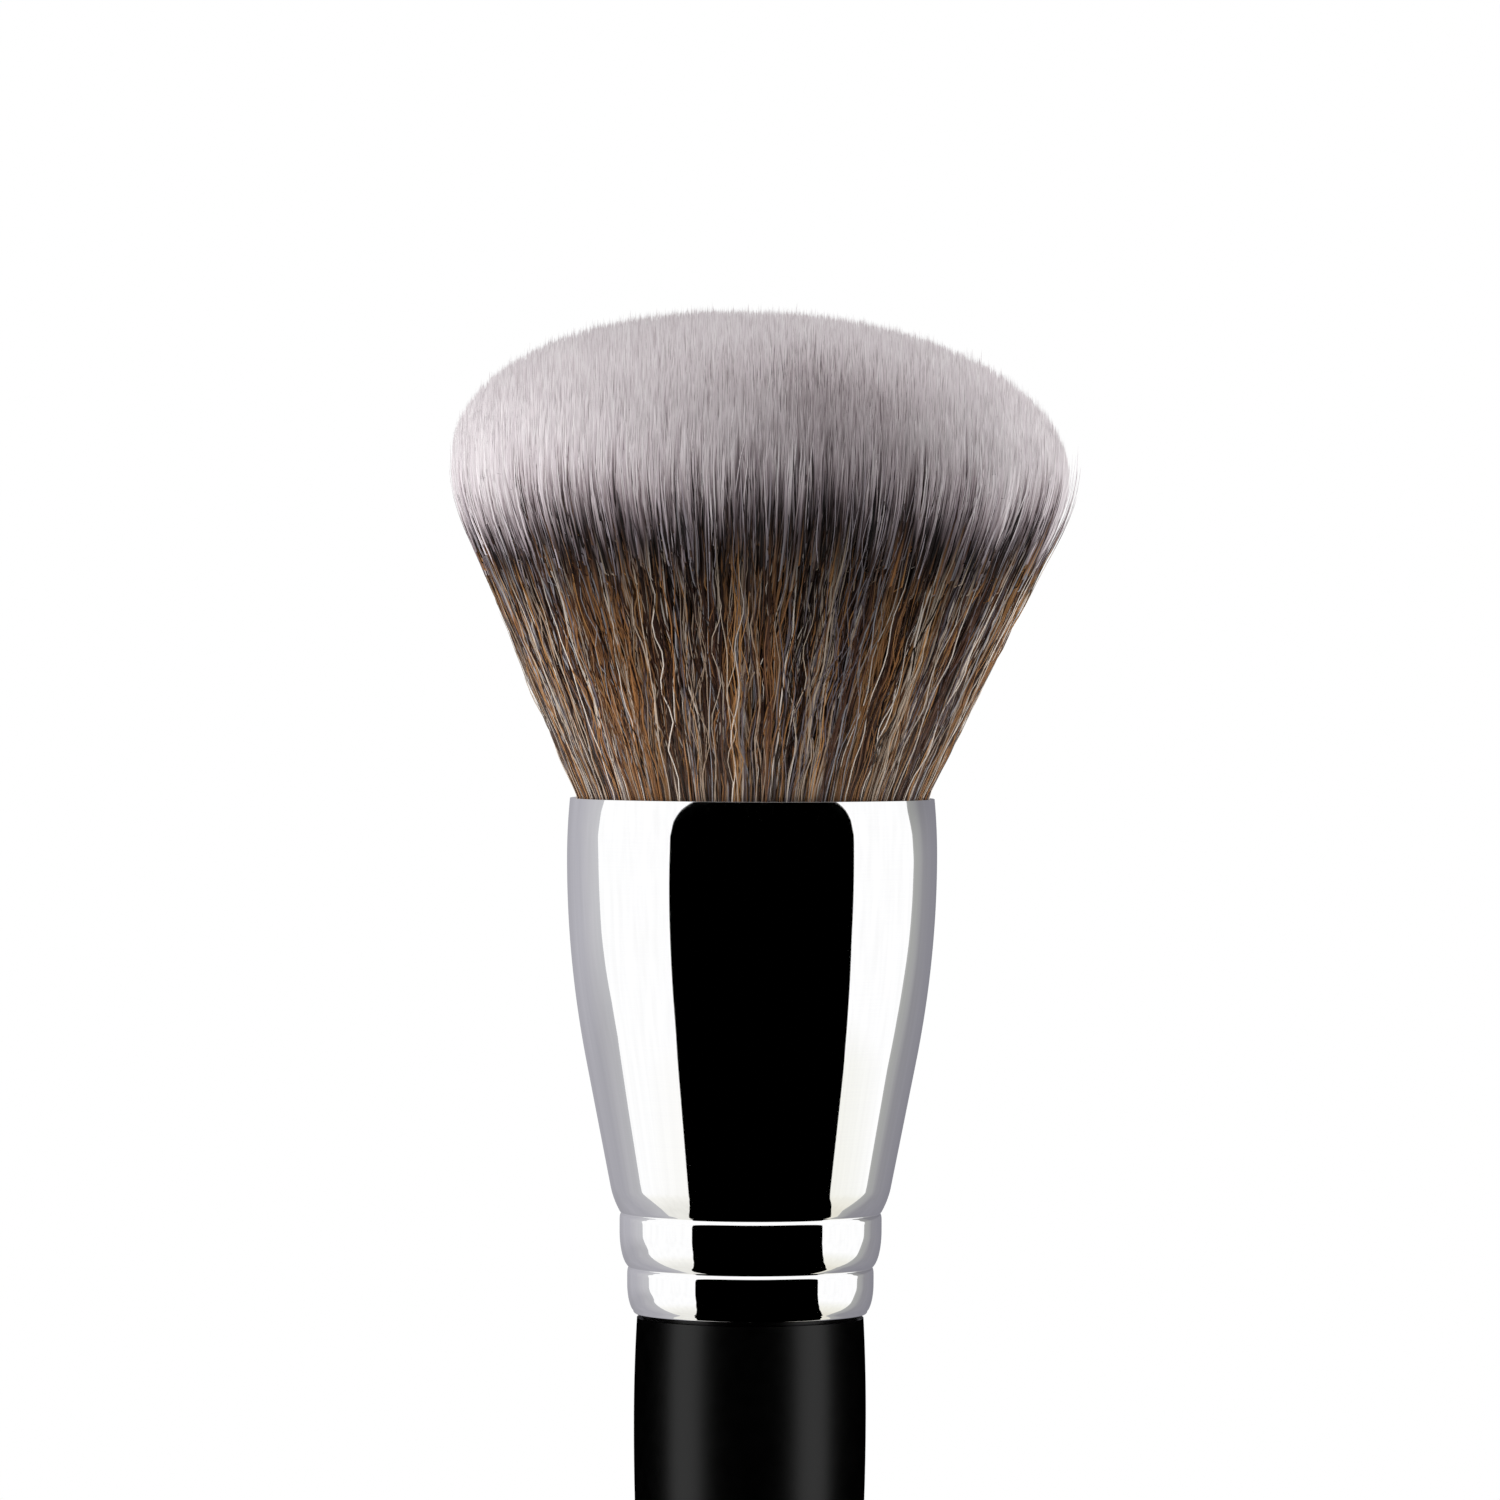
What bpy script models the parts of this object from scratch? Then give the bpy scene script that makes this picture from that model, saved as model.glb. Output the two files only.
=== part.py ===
"""A jumbo powder brush: a flared, domed head of cupped hair in a chromed ferrule on a black lacquered handle.

The brush stands on the butt of its handle, +Z up, with the origin at the middle of the butt's small flat.
The hair, the ferrule and what they hold are drawn from the ferrule's mouth: heights below it are negative.
"""

import math

import bmesh
import bpy
from mathutils import Matrix, Vector

MM = 0.001

# Clearances and round edges shared by pieces that meet
SEAT_GAP = 0.3 * MM
RIM_EDGE = 0.12 * MM

# Handle: turned wood, widest just under the ferrule, with a straight taper to a rounded butt
HANDLE_LENGTH = 109.0 * MM
SHOULDER_RADIUS = 8.58 * MM
BELLY_RADIUS = 8.79 * MM
BELLY_DROP = 7.6 * MM
BELLY_BEND_SHARE = 0.1
BUTT_RADIUS = 4.4 * MM
BUTT_ROUND = 4.2 * MM
BUTT_FLAT_RADIUS = 1.9 * MM
TENON_LENGTH = 18.0 * MM
TENON_CHAMFER = 0.8 * MM
GLUE_GROOVE_DEPTH = 0.8 * MM
GLUE_GROOVE_HEIGHT = 4.4 * MM
GLUE_GROOVE_START = 2.4 * MM

# Ferrule: one spun tube with a drawn-in mouth, a bulged body and two rolled bands at the handle
FERRULE_LENGTH = 39.0 * MM
FERRULE_WALL = 0.4 * MM
MOUTH_RADIUS = 13.79 * MM
CROWN_RADIUS = 14.0 * MM
CROWN_DEPTH = 4.4 * MM
BODY_BEND_SHARE = 0.62
BODY_END_HEIGHT = 2.0 * MM
BODY_END_DRAW = 0.69 * MM
GROOVE_DEPTH = 0.12 * MM
GROOVE_EDGE = 0.14 * MM
BAND_SHOULDER = 0.5 * MM
UPPER_BAND_RADIUS = 9.92 * MM
UPPER_BAND_HEIGHT = 4.1 * MM
UPPER_BAND_DRAW = 0.58 * MM
LOWER_BAND_RADIUS = 9.33 * MM
LOWER_BAND_HEIGHT = 3.5 * MM
LOWER_BAND_DRAW = 0.46 * MM
BAND_STRAIGHT_SHARE = 0.2
BAND_FOOT_SHARE = 0.95
LIP_EDGE = 0.22 * MM

# Hair: rings of strands round a middle one, fanned out from the mouth to the belly
HAIR_RINGS = 10
CORE_RINGS = 2
INNER_RINGS = 3
MIDDLE_RINGS = 2
STRANDS_ADDED_PER_RING = 6
ROOT_DEPTH = 12.5 * MM
FLARE_HEIGHT = 17.9 * MM
FLARE_RADIUS = 21.4 * MM
BELLY_HEIGHT = 24.4 * MM
HEAD_RADIUS = 23.1 * MM
HEAD_HEIGHT = 37.0 * MM
DOME_POWER = 2.2
OUTER_RING_SHARE = 0.975
POINT_START_SHARE = 0.87
RING_TWIST_SHARE = 0.38
ROOT_FILL_SHARE = 0.74
FLARE_FILL_SHARE = 0.9
TIP_STAGGER = 0.5 * MM
STAGGER_CYCLE = 3
STRAND_SIDES = 3
STRAND_ROOT_SINK = 0.6 * MM
STRAND_BEND_SINK = 0.05 * MM

# Binding thread: wound round the drawn-in roots
THREAD_DIAMETER = 0.8 * MM
THREAD_PITCH = 1.3 * MM
THREAD_TURNS = 4
POINTS_PER_TURN = 24

# Glue: a plug under the roots that runs down round the top of the tenon
GLUE_SKIRT = 3.0 * MM

# How finely the round pieces and their outlines are drawn
TURNED_STEPS = 48
INNER_STEPS = 40
BEND_POINTS = 3
BODY_POINTS = 6
FOOT_POINTS = 4
BUTT_POINTS = 5
ROOT_STEPS_PER_RING = 4
FEWEST_ROOT_STEPS = 18
MERGE_DISTANCE = 0.01 * MM

# Places that follow from the sizes above, measured down from the ferrule's mouth
mouth_height = HANDLE_LENGTH + SEAT_GAP + FERRULE_LENGTH
lower_groove = -FERRULE_LENGTH + LOWER_BAND_HEIGHT
upper_groove = lower_groove + UPPER_BAND_HEIGHT
cone_end = upper_groove + BODY_END_HEIGHT
cone_end_radius = UPPER_BAND_RADIUS + BODY_END_DRAW
tenon_top = -FERRULE_LENGTH - SEAT_GAP + TENON_LENGTH
lip_radius = LOWER_BAND_RADIUS - LOWER_BAND_DRAW - LIP_EDGE
tenon_radius = lip_radius - FERRULE_WALL - SEAT_GAP


def clear_scene():
    for thing in list(bpy.data.objects):
        bpy.data.objects.remove(thing, do_unlink=True)


def new_collection(name, hidden=False):
    made = bpy.data.collections.new(name)
    made.hide_render = hidden
    bpy.context.scene.collection.children.link(made)
    return made


def finish_material(name, color, roughness, metallic=0.0):
    made = bpy.data.materials.new(name)
    made.use_nodes = True
    shader = made.node_tree.nodes["Principled BSDF"]
    shader.inputs["Base Color"].default_value = (*color, 1.0)
    shader.inputs["Roughness"].default_value = roughness
    shader.inputs["Metallic"].default_value = metallic
    return made


def place(thing, collection, height, parent, material):
    """Links the piece, stands it at its height on the brush's axis and gives it its finish."""
    collection.objects.link(thing)
    thing.location.z = height
    thing.parent = parent
    thing.data.materials.append(material)
    return thing


def turned(name, outline, steps, closed=False):
    """A piece turned about Z from (radius, height) points that run from top to bottom down its outer side."""
    mesh = bpy.data.meshes.new(name)
    points = [(radius, 0.0, height) for radius, height in outline]
    edges = [(i, i + 1) for i in range(len(points) - 1)]
    if closed:
        edges.append((len(points) - 1, 0))
    mesh.from_pydata(points, edges, [])
    thing = bpy.data.objects.new(name, mesh)
    screw = thing.modifiers.new("turn", "SCREW")
    screw.axis = "Z"
    screw.angle = math.tau
    screw.steps = steps
    screw.render_steps = steps
    screw.use_smooth_shade = True
    screw.use_merge_vertices = True
    screw.merge_threshold = MERGE_DISTANCE
    return thing


def bend_then_straight(share, bend_share):
    """How far a side has come in at this share of its height: a parabola that runs on as its own tangent."""
    steepness = 1.0 / (bend_share * (2.0 - bend_share))
    if share <= bend_share:
        return steepness * share**2
    return steepness * bend_share * (2.0 * share - bend_share)


def circle_drop(share):
    """How far a unit circle falls from its top at this share of its radius."""
    return 1.0 - math.sqrt(1.0 - share**2)


def shares(count, first=0):
    """Even shares from first/count up to 1."""
    return [i / count for i in range(first, count + 1)]


# Handle
def handle_outline():
    """From the top of the tenon down to the flat of the butt, heights measured from the butt."""
    shoulder = HANDLE_LENGTH
    top = shoulder + TENON_LENGTH
    groove_bottom = shoulder + GLUE_GROOVE_START
    groove_top = groove_bottom + GLUE_GROOVE_HEIGHT
    groove_radius = tenon_radius - GLUE_GROOVE_DEPTH
    belly = shoulder - BELLY_DROP
    points = [
        (0.0, top),
        (tenon_radius - TENON_CHAMFER, top),
        (tenon_radius, top - TENON_CHAMFER),
        (tenon_radius, groove_top),
        (groove_radius, groove_top),
        (groove_radius, groove_bottom),
        (tenon_radius, groove_bottom),
        (tenon_radius, shoulder),
    ]
    for share in shares(BEND_POINTS):
        swell = (BELLY_RADIUS - SHOULDER_RADIUS) * (1.0 - (1.0 - share) ** 2)
        points.append((SHOULDER_RADIUS + swell, shoulder - BELLY_DROP * share))
    taper_length = belly - BUTT_ROUND
    bend_stations = [BELLY_BEND_SHARE * share for share in shares(BEND_POINTS, first=1)]
    for share in [*bend_stations, 1.0]:
        drawn_in = (BELLY_RADIUS - BUTT_RADIUS) * bend_then_straight(share, BELLY_BEND_SHARE)
        points.append((BELLY_RADIUS - drawn_in, belly - taper_length * share))
    for share in shares(BUTT_POINTS, first=1):
        turn = share * math.pi / 2
        radius = BUTT_FLAT_RADIUS + (BUTT_RADIUS - BUTT_FLAT_RADIUS) * math.cos(turn)
        points.append((radius, BUTT_ROUND * (1.0 - math.sin(turn))))
    points.append((0.0, 0.0))
    return points


# Ferrule
def mouth_outline():
    """The drawn-in stretch from the mouth down to the crown of the body."""
    points = []
    for share in shares(BEND_POINTS):
        height = -RIM_EDGE - (CROWN_DEPTH - RIM_EDGE) * share
        swell = (CROWN_RADIUS - MOUTH_RADIUS) * (1.0 - (1.0 - share) ** 2)
        points.append((MOUTH_RADIUS + swell, height))
    return points


def body_radius(height):
    """The bulged body's outer radius between its crown and the end of its straight cone."""
    share = (-CROWN_DEPTH - height) / (-CROWN_DEPTH - cone_end)
    drawn_in = (CROWN_RADIUS - cone_end_radius) * bend_then_straight(share, BODY_BEND_SHARE)
    return CROWN_RADIUS - drawn_in


def body_outline(count):
    """From just under the crown to the end of the cone."""
    body_height = -CROWN_DEPTH - cone_end
    stations = [BODY_BEND_SHARE * share for share in shares(count, first=1)] + [1.0]
    heights = [-CROWN_DEPTH - body_height * share for share in stations]
    return [(body_radius(height), height) for height in heights]


def body_end_outline():
    """The cone's foot, rounded in to the groove over the upper band."""
    body_height = -CROWN_DEPTH - cone_end
    slope = 2.0 / (2.0 - BODY_BEND_SHARE) * (CROWN_RADIUS - cone_end_radius) / body_height
    length = BODY_END_HEIGHT - GROOVE_EDGE
    bend = BODY_END_DRAW - slope * length
    points = []
    for share in shares(BEND_POINTS, first=1):
        drawn_in = slope * length * share + bend * share**2
        points.append((cone_end_radius - drawn_in, cone_end - length * share))
    return points


def band_outline(top, height, radius, draw, foot_edge):
    """A rolled band: up out of its groove, over a rounded shoulder, and down a round foot."""
    points = [(radius - GROOVE_DEPTH, top)]
    for share in shares(BEND_POINTS, first=1):
        turn = share * math.pi / 2
        rise = GROOVE_DEPTH * (1.0 - math.sin(turn))
        points.append((radius - rise, top - BAND_SHOULDER * (1.0 - math.cos(turn))))
    straight_end = top - BAND_SHOULDER - BAND_STRAIGHT_SHARE * height
    round_height = straight_end - (top - height) - foot_edge
    for share in shares(FOOT_POINTS):
        drawn_in = draw * circle_drop(BAND_FOOT_SHARE * share) / circle_drop(BAND_FOOT_SHARE)
        points.append((radius - drawn_in, straight_end - round_height * share))
    return points


def bore_outline():
    """The inner side, from the lip up to the mouth, one wall inside the outer one."""
    bands_inside = [
        (lip_radius, -FERRULE_LENGTH),
        (LOWER_BAND_RADIUS, lower_groove - LOWER_BAND_HEIGHT / 2),
        (LOWER_BAND_RADIUS - GROOVE_DEPTH, lower_groove),
        (UPPER_BAND_RADIUS, upper_groove - UPPER_BAND_HEIGHT / 2),
        (UPPER_BAND_RADIUS - GROOVE_DEPTH, upper_groove),
    ]
    body_inside = list(reversed(body_outline(BEND_POINTS)))
    mouth_inside = [(CROWN_RADIUS, -CROWN_DEPTH), (MOUTH_RADIUS, -RIM_EDGE)]
    inside = [*bands_inside, *body_inside, *mouth_inside]
    return [(radius - FERRULE_WALL, height) for radius, height in inside]


def ferrule_outline():
    rim = [(MOUTH_RADIUS - FERRULE_WALL + RIM_EDGE, 0.0), (MOUTH_RADIUS - RIM_EDGE, 0.0)]
    upper = (upper_groove, UPPER_BAND_HEIGHT, UPPER_BAND_RADIUS, UPPER_BAND_DRAW, GROOVE_EDGE)
    lower = (lower_groove, LOWER_BAND_HEIGHT, LOWER_BAND_RADIUS, LOWER_BAND_DRAW, LIP_EDGE)
    body = [*mouth_outline(), *body_outline(BODY_POINTS), *body_end_outline()]
    bands = [*band_outline(*upper), *band_outline(*lower)]
    lip = [(lip_radius, -FERRULE_LENGTH)]
    return [*rim, *body, *bands, *lip, *bore_outline()]


def bore_radius(height):
    """The body's inner radius at this height."""
    return body_radius(height) - FERRULE_WALL


# Hair
def head_radius(height):
    """The reach of the fanned hair at this height over the mouth, measured at the strands' middles."""
    mouth_reach = MOUTH_RADIUS - FERRULE_WALL - SEAT_GAP
    if height <= 0.0:
        return mouth_reach
    if height <= FLARE_HEIGHT:
        return mouth_reach + (FLARE_RADIUS - mouth_reach) * height / FLARE_HEIGHT
    rise = min(1.0, (height - FLARE_HEIGHT) / (BELLY_HEIGHT - FLARE_HEIGHT))
    return FLARE_RADIUS + (HEAD_RADIUS - FLARE_RADIUS) * rise


def tip_height(share):
    """Where a strand that keeps this share of the head's radius meets the dome."""
    rise = (1.0 - share**DOME_POWER) ** (1.0 / DOME_POWER)
    return BELLY_HEIGHT + (HEAD_HEIGHT - BELLY_HEIGHT) * rise


def ring_count(ring):
    """How many strands stand in this ring, counted from the single one in the middle."""
    return max(1, STRANDS_ADDED_PER_RING * ring)


def strand_stations(ring, number):
    """(place, section radius) up one strand, from inside the glued roots to its point."""
    share = OUTER_RING_SHARE * ring / HAIR_RINGS
    angle = math.tau * (number / ring_count(ring) + RING_TWIST_SHARE * ring)
    outward = Vector((math.cos(angle), math.sin(angle), 0.0))
    tip = tip_height(share) - TIP_STAGGER * (number % STAGGER_CYCLE)
    point_start = FLARE_HEIGHT + POINT_START_SHARE * (tip - FLARE_HEIGHT)
    stations = []
    for height, fill in (
        (-STRAND_ROOT_SINK, ROOT_FILL_SHARE),
        (-STRAND_BEND_SINK, ROOT_FILL_SHARE),
        (FLARE_HEIGHT, FLARE_FILL_SHARE),
        (point_start, FLARE_FILL_SHARE),
        (tip, 0.0),
    ):
        reach = head_radius(height)
        section = fill * OUTER_RING_SHARE * reach / HAIR_RINGS / 2
        place_on_strand = outward * (share * reach) + Vector((0.0, 0.0, height))
        stations.append((place_on_strand, section))
    return angle, stations


def draw_out(mesh, face, keep_face):
    """Extrudes the face, and returns the new geometry once the face it started from is gone from inside."""
    drawn = bmesh.ops.extrude_face_region(mesh, geom=[face])["geom"]
    if not keep_face:
        bmesh.ops.delete(mesh, geom=[face], context="FACES_ONLY")
    return drawn


def grow_strand(mesh, angle, stations):
    """Extrudes a flat section up through the stations and closes it to a point, one flat side facing out."""
    middle, section = stations[0]
    turn = Matrix.Rotation(angle + math.pi / 2, 4, "Z")
    matrix = Matrix.Translation(middle) @ turn
    made = bmesh.ops.create_circle(mesh, cap_ends=True, segments=STRAND_SIDES, radius=section, matrix=matrix)
    root = made["verts"][0].link_faces[0]
    face = root
    for centre, radius in stations[1:-1]:
        drawn = draw_out(mesh, face, keep_face=face is root)
        face = next(part for part in drawn if isinstance(part, bmesh.types.BMFace))
        for corner in face.verts:
            corner.co = centre + (corner.co - middle) * (radius / section)
        middle = centre
        section = radius
    drawn = draw_out(mesh, face, keep_face=False)
    tip = [part for part in drawn if isinstance(part, bmesh.types.BMVert)]
    bmesh.ops.pointmerge(mesh, verts=tip, merge_co=stations[-1][0])


def strands_mesh(name, first_ring, last_ring):
    mesh = bmesh.new()
    for ring in range(first_ring, last_ring + 1):
        for number in range(ring_count(ring)):
            angle, stations = strand_stations(ring, number)
            grow_strand(mesh, angle, stations)
    bmesh.ops.recalc_face_normals(mesh, faces=mesh.faces)
    made = bpy.data.meshes.new(name)
    mesh.to_mesh(made)
    mesh.free()
    return made


def ring_boundary(ring):
    """The radius halfway between this ring's roots and the next ring's."""
    return OUTER_RING_SHARE * head_radius(0.0) * (ring + 0.5) / HAIR_RINGS


def bound_radius():
    """The outer radius of the roots where the thread draws them in."""
    return bore_radius(-ROOT_DEPTH) - 2 * SEAT_GAP - THREAD_DIAMETER


def root_outline(inner, last_ring):
    """The glued roots of one zone: a plain sleeve, and the outermost one also has a neck for the thread."""
    if last_ring < HAIR_RINGS:
        outer = ring_boundary(last_ring) - SEAT_GAP / 2
        return [(inner, 0.0), (outer, 0.0), (outer, -ROOT_DEPTH), (inner, -ROOT_DEPTH)]
    outer = head_radius(0.0)
    neck_top = -ROOT_DEPTH + thread_height() + 2 * SEAT_GAP
    return [
        (inner, 0.0),
        (outer, 0.0),
        (outer, neck_top + (outer - bound_radius())),
        (bound_radius(), neck_top),
        (bound_radius(), -ROOT_DEPTH),
        (inner, -ROOT_DEPTH),
    ]


def hair_zone(name, first_ring, last_ring, collection, cutters, parent, material):
    """One zone of the hair: its strands joined to a slice of the glued roots."""
    inner = ring_boundary(first_ring - 1) + SEAT_GAP / 2 if first_ring else 0.0
    steps = max(FEWEST_ROOT_STEPS, ROOT_STEPS_PER_RING * last_ring)
    zone = turned(name, root_outline(inner, last_ring), steps, closed=first_ring > 0)
    place(zone, collection, mouth_height, parent, material)
    strands = bpy.data.objects.new(f"{name}_strands", strands_mesh(f"{name}_strands", first_ring, last_ring))
    place(strands, cutters, mouth_height, parent, material)
    strands.hide_render = True
    strands.display_type = "WIRE"
    join = zone.modifiers.new("strands", "BOOLEAN")
    join.operation = "UNION"
    join.solver = "EXACT"
    join.object = strands
    return zone


# Binding thread
def thread_height():
    return THREAD_PITCH * THREAD_TURNS + THREAD_DIAMETER


def thread_points():
    """A helix round the bound roots, with a straight thread's width added at each end."""
    radius = bound_radius() + SEAT_GAP + THREAD_DIAMETER / 2
    bottom = -ROOT_DEPTH + SEAT_GAP + THREAD_DIAMETER / 2
    points = []
    for i in range(THREAD_TURNS * POINTS_PER_TURN + 1):
        turn = math.tau * i / POINTS_PER_TURN
        height = bottom + THREAD_PITCH * i / POINTS_PER_TURN
        points.append(Vector((radius * math.cos(turn), radius * math.sin(turn), height)))
    start = points[0] + (points[0] - points[1]).normalized() * THREAD_DIAMETER
    end = points[-1] + (points[-1] - points[-2]).normalized() * THREAD_DIAMETER
    return [start, *points, end]


def least_gap(points, diameter):
    """The narrowest space that the winding leaves to itself, measured between points of unlike turns."""
    narrowest = math.inf
    for i, here in enumerate(points):
        for there in points[i + POINTS_PER_TURN // 2 :]:
            narrowest = min(narrowest, (here - there).length)
    return narrowest - diameter


def binding_thread(collection, parent, material):
    points = thread_points()
    curve = bpy.data.curves.new("binding_thread", "CURVE")
    curve.dimensions = "3D"
    curve.bevel_depth = THREAD_DIAMETER / 2
    curve.bevel_resolution = 1
    curve.use_fill_caps = True
    spline = curve.splines.new("POLY")
    spline.points.add(len(points) - 1)
    for target, point in zip(spline.points, points):
        target.co = (*point, 1.0)
    thing = bpy.data.objects.new("binding_thread", curve)
    gap = least_gap(points, THREAD_DIAMETER)
    print(f"binding_thread: least gap to itself {gap / MM:.2f} mm")
    return place(thing, collection, mouth_height, parent, material)


# Glue
def root_glue_outline():
    """A plug that fills the body under the roots and runs down round the tenon's top."""
    top = -ROOT_DEPTH - SEAT_GAP
    foot = tenon_top - GLUE_SKIRT
    points = [(0.0, top)]
    for share in shares(FOOT_POINTS):
        height = top + (foot - top) * share
        points.append((bore_radius(height) - SEAT_GAP, height))
    socket_radius = tenon_radius + SEAT_GAP
    points += [(socket_radius, foot), (socket_radius, tenon_top + SEAT_GAP), (0.0, tenon_top + SEAT_GAP)]
    return points


def tenon_glue_outline():
    """A collar of glue that sits in the tenon's groove and reaches out to the bands."""
    bottom = -FERRULE_LENGTH - SEAT_GAP + GLUE_GROOVE_START + SEAT_GAP
    top = bottom + GLUE_GROOVE_HEIGHT - 2 * SEAT_GAP
    inner = tenon_radius - GLUE_GROOVE_DEPTH + SEAT_GAP
    outer = LOWER_BAND_RADIUS - GROOVE_DEPTH - FERRULE_WALL - SEAT_GAP
    return [(inner, top), (outer, top), (outer, bottom), (inner, bottom)]


def build():
    clear_scene()
    pieces = new_collection("powder_brush")
    cutters = new_collection("powder_brush_cutters", hidden=True)
    stand = bpy.data.objects.new("powder_brush", None)
    pieces.objects.link(stand)

    lacquer = finish_material("black_lacquered_wood", (0.006, 0.006, 0.007), 0.28)
    chrome = finish_material("polished_chrome", (0.80, 0.80, 0.82), 0.04, metallic=1.0)
    hair = finish_material("banded_hair", (0.32, 0.24, 0.19), 0.62)
    thread = finish_material("waxed_cotton_thread", (0.62, 0.55, 0.42), 0.75)
    epoxy = finish_material("amber_epoxy", (0.46, 0.30, 0.10), 0.25)
    wood_glue = finish_material("white_wood_glue", (0.74, 0.71, 0.62), 0.4)

    handle = turned("handle", handle_outline(), INNER_STEPS)
    place(handle, pieces, 0.0, stand, lacquer)
    ferrule = turned("ferrule", ferrule_outline(), TURNED_STEPS, closed=True)
    place(ferrule, pieces, mouth_height, stand, chrome)
    root_glue = turned("root_glue", root_glue_outline(), INNER_STEPS)
    place(root_glue, pieces, mouth_height, stand, epoxy)
    tenon_glue = turned("tenon_glue", tenon_glue_outline(), INNER_STEPS, closed=True)
    place(tenon_glue, pieces, mouth_height, stand, wood_glue)
    first_ring = 0
    for name, last_ring in (
        ("bristle_core", CORE_RINGS),
        ("bristle_inner", CORE_RINGS + INNER_RINGS),
        ("bristle_middle", CORE_RINGS + INNER_RINGS + MIDDLE_RINGS),
        ("bristle_outer", HAIR_RINGS),
    ):
        hair_zone(name, first_ring, last_ring, pieces, cutters, stand, hair)
        first_ring = last_ring + 1
    binding_thread(pieces, stand, thread)


build()
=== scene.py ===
"""Looks of the jumbo powder brush, which stands in a white studio.

It has banded hair, a chromed ferrule and a black lacquered handle.
"""

import math

import bpy
import numpy as np
from mathutils import Matrix, Vector, kdtree


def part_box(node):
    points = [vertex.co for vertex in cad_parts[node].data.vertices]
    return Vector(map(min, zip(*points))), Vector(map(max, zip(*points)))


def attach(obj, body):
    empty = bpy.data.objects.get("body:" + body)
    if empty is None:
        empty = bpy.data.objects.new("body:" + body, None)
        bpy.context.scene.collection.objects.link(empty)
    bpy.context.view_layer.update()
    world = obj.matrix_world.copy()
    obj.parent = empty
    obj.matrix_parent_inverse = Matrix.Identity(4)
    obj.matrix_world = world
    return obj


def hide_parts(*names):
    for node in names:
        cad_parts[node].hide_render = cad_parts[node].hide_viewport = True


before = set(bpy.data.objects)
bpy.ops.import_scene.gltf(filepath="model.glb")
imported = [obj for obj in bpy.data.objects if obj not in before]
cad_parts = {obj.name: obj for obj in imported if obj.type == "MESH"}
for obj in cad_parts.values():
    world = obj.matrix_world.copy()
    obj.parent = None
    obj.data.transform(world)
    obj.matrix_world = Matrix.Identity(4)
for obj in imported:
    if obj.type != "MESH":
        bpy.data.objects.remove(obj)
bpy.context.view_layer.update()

# Hair
# The knot: tapered synthetic fibre, dyed in three bands, crimped so that it stands apart, glued in the
# ferrule and fanned out of it. Its tips are cupped in a mould, which makes the dome. Most hairs are drawn
# 0.08 to 0.32 mm wide, coarser than real ones, because finer hair would neither fill the knot nor show.
MM = 0.001
MOUTH_REACH = 13.1 * MM
FLARE_SLOPE = 0.455
BEND_START = 20.0 * MM
BEND_LENGTH = 5.4 * MM
BELLY_HEIGHT = 24.4 * MM
HEAD_RADIUS = 23.3 * MM
HEAD_HEIGHT = 36.75 * MM
DOME_POWER = 2.13
DOME_TILT = 0.036
ROOT_DEPTH = 2.5 * MM

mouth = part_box("ferrule")[1].z
draw = np.random.default_rng(31)


def reach(height):
    """The fanned knot's radius at this height over the ferrule's mouth."""
    straight = np.clip(height, 0.0, BEND_START)
    bend = np.clip(height - BEND_START, 0.0, BEND_LENGTH)
    return MOUTH_REACH + FLARE_SLOPE * (straight + bend - bend**2 / (2 * BEND_LENGTH))


def tip_height(seats):
    """How high over the mouth the mould lets each tip stand. A seat is a place across the knot, as (x, y) in
    shares of the knot's radius."""
    share = np.minimum(np.hypot(seats[:, 0], seats[:, 1]), 1.0)
    dome = (1.0 - share**DOME_POWER) ** (1.0 / DOME_POWER)
    return BELLY_HEIGHT + (HEAD_HEIGHT - BELLY_HEIGHT) * dome - DOME_TILT * HEAD_RADIUS * seats[:, 0]


def dome_normals(seats):
    """Which way the cupped dome faces at each seat."""
    share = np.clip(np.hypot(seats[:, 0], seats[:, 1]), 1e-3, 0.985)
    fall = share ** (DOME_POWER - 1.0) * (1.0 - share**DOME_POWER) ** (1.0 / DOME_POWER - 1.0)
    slope = (HEAD_HEIGHT - BELLY_HEIGHT) / HEAD_RADIUS * fall
    normals = np.stack([slope * seats[:, 0] / share, slope * seats[:, 1] / share, np.ones(len(seats))], 1)
    return normals / np.linalg.norm(normals, axis=1, keepdims=True)


def ring_seats(count, ring):
    """Seats spread evenly over a ring of the knot, given by its inner and outer share of the radius."""
    share = np.sqrt(draw.uniform(ring[0] ** 2, ring[1] ** 2, count))
    angle = draw.uniform(0.0, math.tau, count)
    return np.stack([share * np.cos(angle), share * np.sin(angle)], 1)


def nearest(points, centres):
    """For each point, the number of the centre that it lies nearest to."""
    tree = kdtree.KDTree(len(centres))
    for number, centre in enumerate(centres):
        tree.insert((*centre, 0.0), number)
    tree.balance()
    return np.array([tree.find((*point, 0.0))[1] for point in points])


# The crimp's waves, as (how far a hair strays from its lock's wave in radians, wave's length, wave's size).
SIDE_WAVES = ((0.7, 6.8 * MM, 0.17 * MM), (1.6, 3.9 * MM, 0.06 * MM))
DEPTH_WAVES = ((0.9, 7.9 * MM, 0.1 * MM), (1.6, 4.3 * MM, 0.04 * MM))
CRIMP_SIZES = (0.4, 1.5)
CRIMP_GROWN = 4.0 * MM
CRIMP_UNTIL = 12.0 * MM
CRIMP_FADE = 10.0 * MM
CRIMP_LOSS = 0.82
LOCK_STRETCH = 0.16
HAIR_STRETCH = 0.07
HAIR_DRIFT = 0.036
HEAD_LEAN = 0.55 * MM
LEAN_HEIGHT = 19.5 * MM
LEAN_POWER = 1.2


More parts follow.
